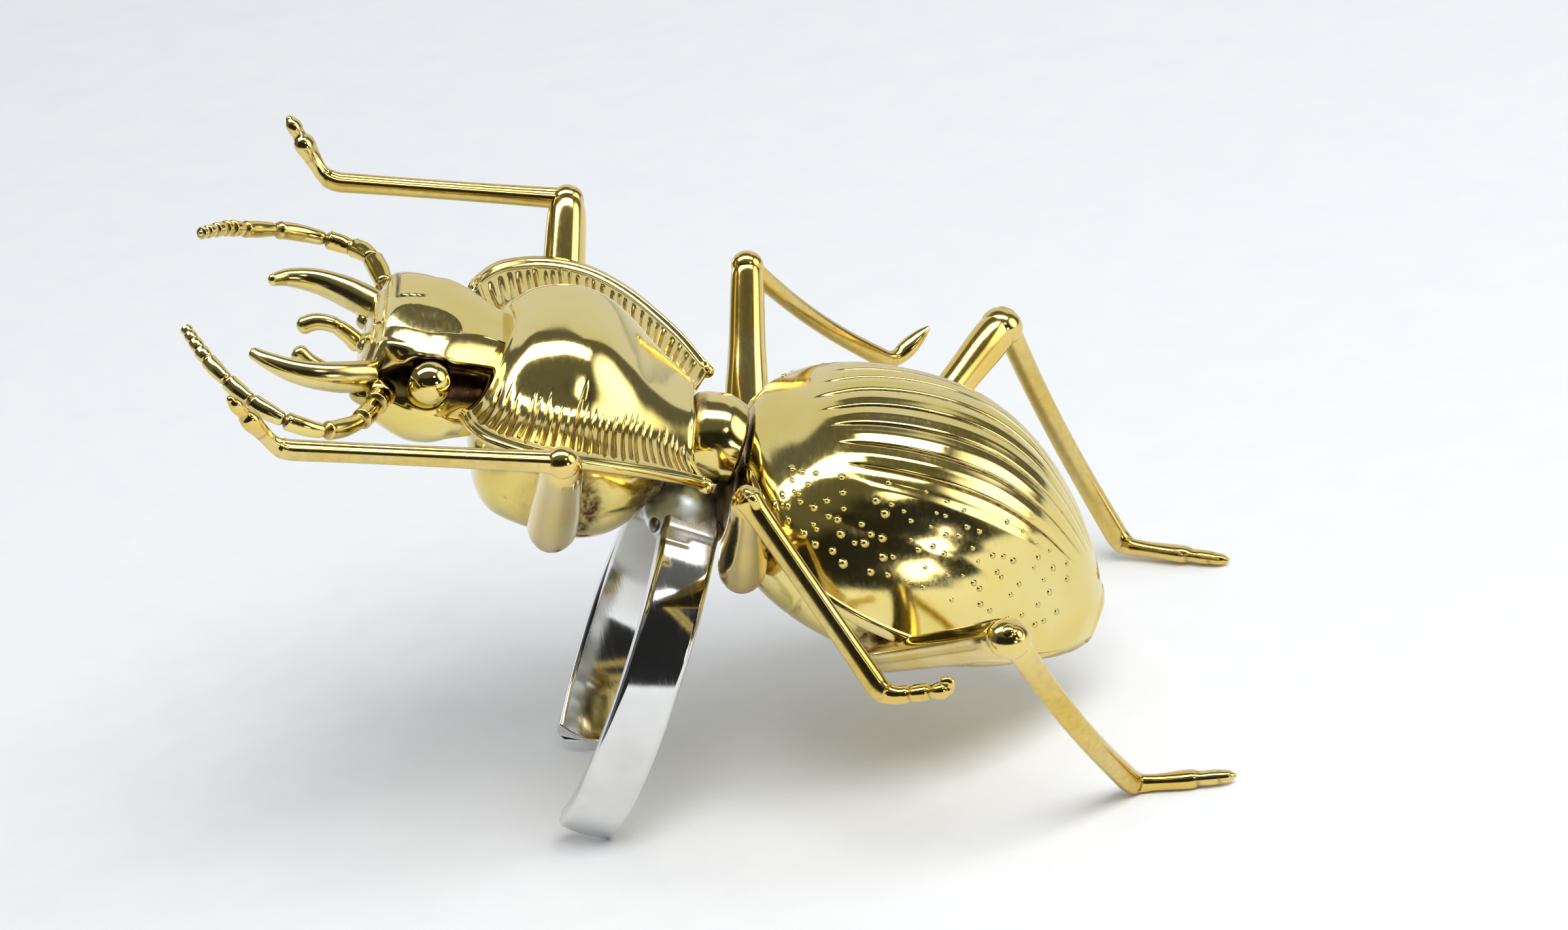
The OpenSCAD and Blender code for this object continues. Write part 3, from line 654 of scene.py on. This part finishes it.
# Each antenna is a string of drawn-out golden segments, cast in one and bent by hand, so the two
# sides differ. Every segment swells towards its far end and is nicked where the next one starts.
antenna_gold = golden("antenna_gold", clean=(0.76, 0.58, 0.165), smooth=0.11, worn=0.17,
                      dirt_and_shade=(0.16, 0.07, 0.02))
ANTENNA = {  # x, y, z, radius
    "left": [[-17.2, -5.05, 12.4, 0.5], [-18.2, -8, 12.1, 0.42], [-19.8, -10.1, 12.1, 0.38],
             [-21.4, -10.6, 12.2, 0.37], [-22.8, -10.4, 12.3, 0.37], [-24.4, -9.4, 12.4, 0.36],
             [-26.2, -7.7, 12.7, 0.33], [-27.6, -5.6, 13, 0.25]],
    "right": [[-17.2, 5.05, 12.6, 0.5], [-18.5, 8.9, 12.85, 0.44], [-19.9, 10.6, 12.35, 0.4],
              [-21.8, 10.7, 12.25, 0.38], [-23.4, 10, 12.35, 0.38], [-25, 8.7, 12.5, 0.36],
              [-26.3, 7.3, 12.8, 0.33], [-27.5, 5.7, 12.9, 0.25]]}
SEGMENT_ENDS = {  # share of the way to the tip
    "left": [0, 0.06, 0.137, 0.294, 0.487, 0.661, 0.77, 0.863, 0.9, 0.934, 0.966, 1],
    "right": [0, 0.06, 0.14, 0.248, 0.36, 0.59, 0.749, 0.82, 0.86, 0.911, 0.955, 1]}
ANTENNA_ROWS = 440
STOUTER = 1.1
NICK = 0.34


def with_noses(values, first, last):
    """One value for each ring of a tube, with those of its rounded ends."""
    return np.concatenate([np.full(len(NOSE), first), values, np.full(len(NOSE), last)])


for label, bends in ANTENNA.items():
    t = bent(bends, ANTENNA_ROWS)
    ends = SEGMENT_ENDS[label]
    within = np.interp(np.linspace(0, 1, ANTENNA_ROWS), ends, range(len(ends))) % 1
    from_nick = np.minimum(within, 1 - within)
    swell = 0.9 + 0.22 * step(0.0, 0.6, within) + 0.05 * hump(within, 0.9, 0.05)
    radius = STOUTER * t[:, 3] * (swell - NICK * hump(from_nick, 0, 0.055))
    antenna = Casting()
    antenna.add_tube(rounded_ends(swept(t[:, :3], radius, radius, 28)),
                     with_noses(0.8 * hump(from_nick, 0, 0.06), 0.3, 0.1))
    antenna.piece("beaded_antenna_" + label, antenna_gold, ["antenna_" + label])

# The waist is a smooth golden barrel that joins the shield to the wing cases.
# It was turned up bright with a buff; both ends are painted dark as shade, in the corners where it meets
# the shield and the wing cases.
waist_gold = golden("waist_gold", dirt_and_shade=(0.14, 0.06, 0.02))
WAIST = [  # the same columns as the chest
    [-1.4, 2.1, 13.2, 1.8, 1.8, 1], [-0.9, 2.4, 13.1, 2.1, 2.1, 1],
    [0.2, 2.5, 13.1, 2.3, 2.25, 1], [1.1, 2.4, 13.1, 2, 2.1, 1]]
waist_rings = lofted(WAIST, 60, 72)
waist_x = waist_rings[..., 0]
waist = Casting()
# Painted shade at both ends.
waist.add_tube(waist_rings, 0.8 * step(-0.9, -1.4, waist_x) + 0.6 * step(0.9, 1.3, waist_x))
waist.piece("waist_barrel", waist_gold, ["waist"])

# The wing cases are one domed golden casting with a seam down the middle and four grooves each side.
# The flanks below the grooves are smooth and flare out; a polished bead runs along the margin.
case_gold = golden("wing_case_gold", dirt_and_shade=(0.14, 0.05, 0.02), wave=0.04)
CASE_HALF = 9.3
CASES = [  # x, half width, rim level, top level, squareness
    [1.6, 0.3, 13.6, 14.9, 0.9], [2.2, 0.56, 13.4, 15.3, 0.9], [3.2, 0.8, 12.7, 16.1, 0.92],
    [4.6, 0.93, 11.9, 17.3, 0.95], [6.5, 0.99, 11.2, 18.3, 0.97], [9, 1, 10.6, 18.9, 0.97],
    [11.5, 0.97, 10.2, 19, 0.97], [14, 0.9, 10, 18.5, 0.97], [16.5, 0.78, 9.9, 17.2, 0.97],
    [18.8, 0.6, 9.7, 15.2, 0.97], [20.5, 0.39, 9.6, 13.1, 0.97], [21.5, 0.2, 9.5, 11.5, 0.97]]
GROOVE_STEP = 9.6  # degrees
GROOVES = 4
GROOVE_DEPTH = 0.15
CROWN_HEIGHT = 0.075
FLARE = [  # degrees from the top, how far the flank stands out
    [0, 0], [46, 0], [55, -0.1], [62, -0.11], [70, 0.06], [78, 0.28], [84, 0.45], [88, 0.57], [90, 0.66]]
FLANK_COLUMNS = 38
FLOOR_DROP = 0.5
BEAD_ROWS = 240
BEAD_OUT = 0.6
BEAD_RADIUS = 0.3
beside_groove = [0, 0.12, 0.26, 0.42, 0.62, 0.9, 1.4, 2.1, 2.9, 3.8]

rows = bent(CASES, 285)
columns = [GROOVE_STEP * k + side * beside
           for k in range(-GROOVES, GROOVES + 1) for beside in beside_groove for side in (-1, 1)]
columns += [GROOVE_STEP * (k + 0.5) for k in range(-GROOVES - 1, GROOVES + 1)]
flanks = np.linspace(GROOVE_STEP * (GROOVES + 0.5) + 1.2, 90, FLANK_COLUMNS)
columns = np.unique(np.round(np.concatenate([columns, flanks, -flanks]), 3))
tilt = np.radians(columns + 90)[None, :]
rise = rows[:, 3:4] - rows[:, 2:3]
y, z = oval(tilt, rows[:, 1:2] * CASE_HALF, rise, rise, rows[:, 4:5])
case_x = np.broadcast_to(rows[:, :1], y.shape)
off_top = np.degrees(tilt) - 90
number = off_top / GROOVE_STEP
nearest = np.round(number)
groove_start = 3.6 + 0.5 * np.abs(nearest)
groove_stop = 20.9 - 0.45 * np.abs(nearest)
in_length = step(groove_start, groove_start + 1.6, case_x) * step(groove_stop, groove_stop - 1.2, case_x)
groove_width = 0.05 + 0.014 * (nearest == 0)
groove = np.exp(-np.abs((number - nearest) / groove_width) ** 1.7) * in_length
groove *= np.abs(nearest) <= GROOVES
hollow = 1 - 4 * (number - nearest) ** 2 * step(GROOVES + 0.7, GROOVES + 0.2, np.abs(number))
inward = GROOVE_DEPTH * groove + CROWN_HEIGHT * hollow * in_length * (np.abs(number) < GROOVES + 0.7)
inward -= np.interp(np.abs(off_top), *np.array(FLARE).T) * step(2.6, 6.0, case_x) * step(20.5, 15.0, case_x)
inward *= np.minimum(1, rise / 3)
case_top = np.stack([case_x, y - inward * np.cos(tilt), rows[:, 2:3] + z - inward * np.sin(tilt)], -1)
floor_y = -np.linspace(0.985, -0.985, 41)[None, :] * rows[:, 1:2] * CASE_HALF
case_floor = np.stack(np.broadcast_arrays(rows[:, :1], floor_y, rows[:, 2:3] - FLOOR_DROP), -1)
case_rings = np.concatenate([case_top, case_floor], axis=1)
# Painted shade: the grooves are darkened, and so are the underside and the front end by the waist.
case_shade = np.concatenate([np.clip(0.95 * groove, 0, 1), np.full(floor_y.shape, 0.3)], axis=1)
front = [resized(case_rings[0], share, (-out, 0, 0))
         for share, out in ((0.4, 0.08), (0.75, 0.06), (0.93, 0.03))]
tail = [resized(case_rings[-1], share, (out, 0, -0.4 * out))
        for share, out in ((0.93, 0.12), (0.75, 0.25), (0.4, 0.38))]
around = case_rings.shape[1]
wing_cases = Casting()
wing_cases.add_tube(np.concatenate([front, case_rings, tail]), np.concatenate([
    np.full((len(front), around), 0.5), case_shade, np.full((len(tail), around), 0.1)]))
rim = bent([[x, half * CASE_HALF, level] for x, half, level, top, square in CASES], BEAD_ROWS)
out_by = BEAD_OUT * step(2.6, 6.0, rim[:, 0]) * step(20.5, 15.0, rim[:, 0]) - 0.06
rim_path = np.stack([rim[:, 0], -(rim[:, 1] + out_by), rim[:, 2] - 0.12], -1)
share = np.linspace(0, 1, BEAD_ROWS)
bead_radius = BEAD_RADIUS * step(0, 0.06, share) * step(0.92, 0.66, share) + 0.06
for side in (-1, 1):
    rings = swept(rim_path * [1, -side, 1], bead_radius * 0.75, bead_radius, 20)
    wing_cases.add_tube(rounded_ends(rings), 0.12)
wing_cases.piece("wing_cases", case_gold, ["elytra"])

# Small round pits are punched into both flanks, each with a raised lip that is browned with dirt, and a
# bottom painted dark as shade.
# They were struck one by one in wandering rows, and are smaller and shallower towards the tail.
pit_gold = golden("pit_gold", dirt_and_shade=(0.3, 0.135, 0.06), wave=0.04)
PIT = [  # radius, height above the flank, dirt on the lip and painted shade at the bottom
    [1.75, -0.03, 0], [1.45, 0.008, 0.3], [1.2, 0.034, 0.5], [0.98, 0.042, 0.5],
    [0.8, 0.03, 0.8], [0.62, 0.012, 1], [0.3, 0.008, 1]]
PIT_ROWS = (44, 50, 56, 62, 68, 75)  # degrees from the top
PIT_SPACING = 0.82
PITS_MISSED = 0.22
FIRST_PIT, LAST_PIT = 2.8, 20.0
rng = np.random.default_rng(90)
pits = Casting()
turn = full_turn(16).T
for side in (-1, 1):
    for angle in PIT_ROWS:
        for x_at in np.arange(FIRST_PIT + rng.uniform(0, 0.6), LAST_PIT - 0.02 * angle, PIT_SPACING):
            if rng.random() < PITS_MISSED:
                continue
            row = np.abs(rows[:, 0] - x_at - rng.uniform(-0.35, 0.35)).argmin()
            col = np.abs(columns - side * (angle + rng.uniform(-1.5, 1.5))).argmin()
            down = case_top[row + 1, col] - case_top[row - 1, col]
            sideways = case_top[row, col + 1] - case_top[row, col - 1]
            down, sideways = down / np.linalg.norm(down), sideways / np.linalg.norm(sideways)
            outward = np.cross(down, sideways)
            outward *= math.copysign(1, outward[1] * side)
            size = rng.uniform(0.07, 0.125) * (1.15 if x_at < 9 else 0.8)
            rings = [case_top[row, col] + size * (
                10 * high * outward + wide * (np.cos(turn) * down + np.sin(turn) * sideways))
                for wide, high, dirt_and_shade in PIT]
            # Brown dirt on the lip, painted shade darkest at the bottom.
            pits.add_tube(rings, np.array(PIT)[:, 2])
pits.piece("punched_pits", pit_gold)

# The belly closes the hind body from below: a smooth golden bulge, dull where the buff didn't reach.
# Five faint lines run across it as dark joints, and it is painted dark as shade round the roots of the hind
# legs and towards its front.
belly_gold = golden("belly_gold", smooth=0.14, worn=0.26, dirt_and_shade=(0.1, 0.045, 0.015), specks=0.25)
BELLY = [  # the same columns as the chest
    [1.9, 2.6, 11.2, 1.3, 1.7, 0.9], [2.6, 4.2, 10.8, 1.5, 2.5, 0.85], [4.2, 5.8, 10.2, 1.4, 3.2, 0.85],
    [7, 6.9, 9.7, 1, 3.7, 0.85], [10.5, 7.1, 9.2, 0.6, 3.6, 0.85], [14, 6.8, 9.1, 0.3, 2.9, 0.85],
    [17, 5.8, 9, 0.25, 1.9, 0.85], [19.5, 4, 8.95, 0.1, 0.8, 0.9]]
HIND_LEG_ROOT = (10.2, 7.0, 7.6)
BELLY_LINES = (6.0, 9.2, 12.4, 15.4, 18.0)
belly_rings = lofted(BELLY, 140, 120)
# Painted shade round the hind-leg roots and towards the front; the lines below are dark joints.
belly_shade_and_joints = 0.95 * hump(off_root(belly_rings, HIND_LEG_ROOT), 0.9, 0.7)
belly_shade_and_joints += 0.6 * step(3.0, 1.9, belly_rings[..., 0])
for x_at in BELLY_LINES:
    line = hump(belly_rings[..., 0], x_at, 0.09) * (belly_rings[..., 2] < 9.0)
    belly_rings[..., 2] += RAISED_LINE * line
    belly_shade_and_joints += 0.35 * line
belly = Casting()
belly.add_tube(belly_rings, np.clip(belly_shade_and_joints, 0, 1))
belly.piece("belly_plate", belly_gold, ["belly"])

# Six golden legs, each cast in one and bent by hand before it was soldered in, so that no two match.
# The thigh is stout and round, the shin is a bar with a groove along it, and the foot is nicked in joints.
leg_gold = golden("leg_gold", clean=(0.77, 0.555, 0.14), pale=(0.79, 0.63, 0.24), smooth=0.12, worn=0.22,
                  dirt_and_shade=(0.15, 0.07, 0.02), specks=0.15)
STRAIGHT = (0, 0, 0)
LEGS = {  # hip, knee, ankle, toe, how stout the shin is, how far its middle bows (y outwards)
    "front_left": ((-7.1, -6.8, 8.75), (-9.0, -15.3, 16.75), (-22.3, -15.6, 13.1), (-25.4, -16.7, 15.5),
                   1.0, STRAIGHT),
    "front_right": ((-7.1, 6.8, 8.75), (-9.25, 15.3, 16.45), (-21.4, 15.6, 13.2), (-24.2, 16.7, 15.5),
                    1.0, STRAIGHT),
    "mid_left": ((2.8, -5.9, 9.2), (0.5, -13.5, 16.9), (9.45, -18.6, 11.3), (12.1, -19.6, 13.2),
                 1.15, STRAIGHT),
    "mid_right": ((3.1, 5.9, 9.3), (0.55, 13.5, 16.7), (10.5, 18.6, 11.45), (11.8, 19.7, 13.5),
                  1.0, (-0.15, 0, -0.4)),
    "hind_left": ((10.5, -7.5, 7.5), (14.3, -18.1, 16.1), (24.25, -11.7, 7.1), (28.65, -12.7, 9.7),
                  1.22, (0, 1.1, 0)),
    "hind_right": ((9.5, 7.5, 7.5), (15.2, 18.1, 15.9), (25.72, 17.87, 5.49), (30.5, 14.45, 8.1),
                   1.22, (-0.5, 0.6, 0))}
THIGHS = {  # share along, radius
    "front": [[0, 1.12], [0.08, 1.26], [0.33, 1.26], [0.6, 1.16], [0.88, 1.06], [0.97, 0.92],
              [1.02, 0.6]],
    "mid": [[0, 1.12], [0.08, 1.24], [0.33, 1.2], [0.6, 1], [0.88, 0.9], [0.97, 0.82],
            [1.02, 0.55]],
    "hind": [[0, 0.6], [0.1, 0.78], [0.4, 0.88], [0.7, 0.96], [0.88, 1.06], [0.96, 0.98],
             [1.02, 0.6]]}
SHIN = [[-0.03, 0.42], [0, 0.62], [0.06, 0.56], [0.25, 0.52], [0.5, 0.5], [0.75, 0.5], [0.94, 0.52],
        [1, 0.5]]
FEET = {  # share along, radius; then where the foot is nicked
    "front": ([[0.06, 0.44], [0.22, 0.4], [0.42, 0.48], [0.56, 0.58], [0.66, 0.52], [0.73, 0.36],
               [0.84, 0.42], [0.93, 0.38], [1, 0.22]], (0.36, 0.73)),
    "mid": ([[0.06, 0.5], [0.24, 0.47], [0.34, 0.47], [0.4, 0.38], [0.47, 0.46], [0.64, 0.46],
             [0.71, 0.34], [0.82, 0.46], [0.93, 0.46], [1, 0.28]], (0.4, 0.71)),
    "mid_right": ([[0.06, 0.42], [0.25, 0.44], [0.45, 0.46], [0.65, 0.4], [0.85, 0.28], [1, 0.13]], ()),
    "hind": ([[0.06, 0.5], [0.22, 0.45], [0.42, 0.5], [0.58, 0.52], [0.66, 0.4], [0.76, 0.42],
              [0.86, 0.38], [0.95, 0.32], [1, 0.14]], (0.65, 0.86))}
THIGH_ROWS, SHIN_ROWS, FOOT_ROWS = 90, 130, 120
ANKLE_BEND = 0.85
RUBBED_FACE = 0.07
GROOVE_IN_SHIN = 0.2
LOOP_RADIUS = 0.52
CLAW_RADIUS = 0.3
WIRE = 0.24


def unit(vector):
    return vector / np.linalg.norm(vector)


def rounded_corner(path, corner, reach):
    """Bends a path round a corner instead of breaking it there."""
    away = np.linalg.norm(path - corner, axis=1)
    near = np.flatnonzero(away < reach)
    half = away[near] / reach / 2
    t = np.where(near < away.argmin(), 0.5 - half, 0.5 + half)[:, None]
    first, last = path[near[0]].copy(), path[near[-1]].copy()
    path[near] = (1 - t) ** 2 * first + 2 * t * (1 - t) * corner + t ** 2 * last
    return path


def thigh_shape(angle, share):
    """Round, with one face rubbed flat along its length."""
    return 1 - RUBBED_FACE * lobe(angle, 2.4, 0.5) * step(0.05, 0.25, share) * step(1.0, 0.85, share)


def shin_shape(angle, share):
    """A bar with rounded corners and one groove along its outer side."""
    channel = GROOVE_IN_SHIN * lobe(angle, 1.0, 0.26) * step(0.03, 0.12, share) * step(0.66, 0.56, share)
    return 1 - 0.03 * np.cos(4 * angle) - channel


for label, (hip, knee, ankle, toe, stout, bow) in LEGS.items():
    hip, knee, ankle, toe = (np.array(p) for p in (hip, knee, ankle, toe))
    thigh_way, shin_way, toe_way = unit(knee - hip), unit(ankle - knee), unit(toe - ankle)
    kind = label.split("_")[0]
    leg = Casting()
    t = bent(THIGHS[kind], THIGH_ROWS)
    rings = rounded_ends(swept(hip + (knee - hip) * t[:, :1], t[:, 1], t[:, 1], 48, thigh_shape))
    # Painted shade: the thigh is darkened at the hip, where it meets the body.
    leg.add_tube(rings, np.clip(np.linspace(0.9, -2.5, len(rings)), 0, 1))
    foot_table, nicks = FEET.get(label, FEET[kind])
    s, f = bent(SHIN, SHIN_ROWS), bent(foot_table, FOOT_ROWS)
    out = np.array([bow[0], math.copysign(bow[1], hip[1]), bow[2]])
    shin_path = knee + (ankle - knee) * s[:, :1] + out * np.sin(math.pi * np.clip(s[:, :1], 0, None))
    foot_path = ankle + (toe - ankle) * f[:, :1]
    path = rounded_corner(np.concatenate([shin_path, foot_path]), ankle, ANKLE_BEND)
    radius = np.concatenate([s[:, 1] * stout, f[:, 1]])
    wide = np.concatenate([np.ones(SHIN_ROWS), 1 + 0.12 * step(0, 0.3, np.linspace(0, 1, FOOT_ROWS))])
    nicked = sum((0.42 * hump(f[:, 0], nick, 0.02) for nick in nicks), np.full(FOOT_ROWS, 0.08))
    tarnish = np.concatenate([0.22 * step(0.0, 0.2, s[:, 0]), nicked])
    leg.add_tube(rounded_ends(swept(path, radius * wide, radius / wide, 32, shin_shape)),
                 with_noses(tarnish, 0.2, 0.1))
    if kind == "hind":
        blob(leg, knee - 0.3 * thigh_way + 0.05 * shin_way, (1.14, 1.12, 0.98), grime_and_shade=0.02)
    elif label == "mid_left":
        across_knee = unit(np.cross(thigh_way, shin_way))
        t = np.linspace(0, 2 * math.pi, 49)[:, None]
        loop = knee + 0.25 * thigh_way + 0.15 * shin_way + LOOP_RADIUS * (
            np.cos(t) * thigh_way + np.sin(t) * np.cross(across_knee, thigh_way))
        leg.add_tube(swept(loop, WIRE, WIRE, 20, upwards=across_knee), 0.1)
        curl = np.linspace(0, 3.6, 24)[:, None]
        claw = toe - 0.35 * toe_way + CLAW_RADIUS * (
            np.sin(curl) * toe_way + (1 - np.cos(curl)) * np.array([0, 0, 0.9]))
        leg.add_tube(rounded_ends(swept(claw, WIRE, WIRE, 16, upwards=across_knee)), 0.1)
    else:
        blob(leg, knee - 0.05 * thigh_way, (0.86, 0.84, 0.8), grime_and_shade=0.02)
    leg.piece("bent_leg_" + label, leg_gold, ["leg_" + label])

# The table is plain pale paper, lit softly from above and from both sides, with a dark room behind
# the camera that shows only as dark shapes in the polish. Matt things get even light from all round.
paper = bpy.data.materials.new("pale_paper")
paper.use_nodes = True
shade = paper.node_tree.nodes["Principled BSDF"]
shade.inputs["Roughness"].default_value = 0.9
fibre = add_node(paper.node_tree, "TexNoise", {"Scale": 900})
tone = add_node(paper.node_tree, "ValToRGB", {"Fac": fibre.outputs["Fac"]})
tone.color_ramp.elements[0].color = (0.84, 0.85, 0.87, 1)
tone.color_ramp.elements[1].color = (0.9, 0.905, 0.915, 1)
paper.node_tree.links.new(tone.outputs["Color"], shade.inputs["Base Color"])
bpy.ops.mesh.primitive_plane_add(size=3.0, location=(0, 0, 0))
table_top = bpy.context.object
table_top.name = "paper_floor"
table_top.data.materials.append(paper)

FOCAL_PIXELS = 11903.63
PHOTO_WIDTH = 2398
SENSOR_WIDTH = 36
EYE_POINT = (-56.768, -352.006, 181.721)  # upright, like the points of the pieces
LOOKS = np.array([  # the camera's right, up and back
    [0.94498, -0.00573, 0.32707], [-0.28893, 0.45425, 0.84272], [-0.1534, -0.89085, 0.42761]])
camera = bpy.data.objects.new("camera", bpy.data.cameras.new("camera"))
camera.data.sensor_width = SENSOR_WIDTH
camera.data.lens = FOCAL_PIXELS / PHOTO_WIDTH * SENSOR_WIDTH
camera.data.clip_start = 0.01
axes = turned(LOOKS)
axes /= np.linalg.norm(axes, axis=1)[:, None]
camera.matrix_world = Matrix.Translation(Vector(settled(EYE_POINT))) @ Matrix(axes.T.tolist()).to_4x4()
bpy.context.collection.objects.link(camera)
bpy.context.scene.camera = camera

BEETLE_MIDDLE = Vector((0, 0, 0.02))
LIGHTS = (  # place, size, radiance, the rays that don't see it
    ("strip_overhead", (0.0, 0.02, 0.5), (0.86, 0.17), 6.0, ["diffuse"]),
    ("window_left", (-0.55, 0.6, 0.14), (0.12, 0.22), 2.0, []),
    ("lamp_low_right", (0.464, -0.515, 0.11), (0.13, 0.1), 5.0, ["diffuse", "camera"]),
    ("lamp_high_right", (0.32, -0.32, 0.4), (0.1, 0.08), 4.0, ["diffuse", "camera"]),
    ("front_softbox", (0.16, -0.26, 0.42), (0.42, 0.26), 6.6, ["glossy"]))
for name, place, (width, height), radiance, unseen_by in LIGHTS:
    lamp = bpy.data.lights.new(name, "AREA")
    lamp.shape = "RECTANGLE"
    lamp.size, lamp.size_y = width, height
    lamp.energy = radiance * math.pi * width * height
    obj = bpy.data.objects.new(name, lamp)
    obj.location = place
    obj.rotation_euler = (BEETLE_MIDDLE - Vector(place)).to_track_quat("-Z", "Y").to_euler()
    for rays in unseen_by:
        setattr(obj, "visible_" + rays, False)
    bpy.context.collection.objects.link(obj)

world = bpy.data.worlds.new("studio")
bpy.context.scene.world = world
world.use_nodes = True
sky = world.node_tree
background = sky.nodes["Background"]
direction = add_node(sky, "TexCoord").outputs["Generated"]
looking = add_node(sky, "SeparateXYZ", {0: direction}).outputs
ray = add_node(sky, "LightPath").outputs


def reckon(kind, *values):
    return add_node(sky, "Math", enumerate(values), operation=kind).outputs[0]


def above(value, low, high):
    return add_node(sky, "MapRange", {"Value": value, "From Min": low, "From Max": high},
                    interpolation_type="SMOOTHSTEP").outputs[0]


sideways = reckon("ABSOLUTE", looking["X"])
behind = above(reckon("SUBTRACT", looking["Y"], reckon("MULTIPLY", sideways, 0.95)), 0.0, 0.1)
backdrop = reckon("MULTIPLY", behind, above(looking["Z"], 0.74, 0.69))
in_front = reckon("MULTIPLY", above(looking["Y"], -0.25, -0.55), above(looking["Z"], 0.8, 0.62))
room = blend(sky, in_front, (0.13, 0.13, 0.12), (0.02, 0.02, 0.02))
room = blend(sky, backdrop, room, (0.8, 0.81, 0.83))
room = blend(sky, ray["Is Diffuse Ray"], room, (0.415, 0.44, 0.465))
room = blend(sky, ray["Is Camera Ray"], room, (0.9, 0.905, 0.915))
sky.links.new(room, background.inputs["Color"])
glow_way = Vector((0.94, -0.03, 0.34)).normalized()
toward_glow = add_node(sky, "VectorMath", {0: direction, 1: glow_way}, operation="DOT_PRODUCT")
glow_strength = reckon("MULTIPLY", above(toward_glow.outputs["Value"], 0.9, 0.98), 2.6)
glow_strength = reckon("MULTIPLY", glow_strength, reckon("SUBTRACT", 1.0, ray["Is Camera Ray"]))
glow = add_node(sky, "Background", {"Color": (1.0, 0.99, 0.95, 1), "Strength": glow_strength})
both = add_node(sky, "AddShader", {0: background.outputs[0], 1: glow.outputs[0]})
sky.links.new(both.outputs[0], sky.nodes["World Output"].inputs["Surface"])
bpy.context.scene.view_settings.view_transform = "Standard"
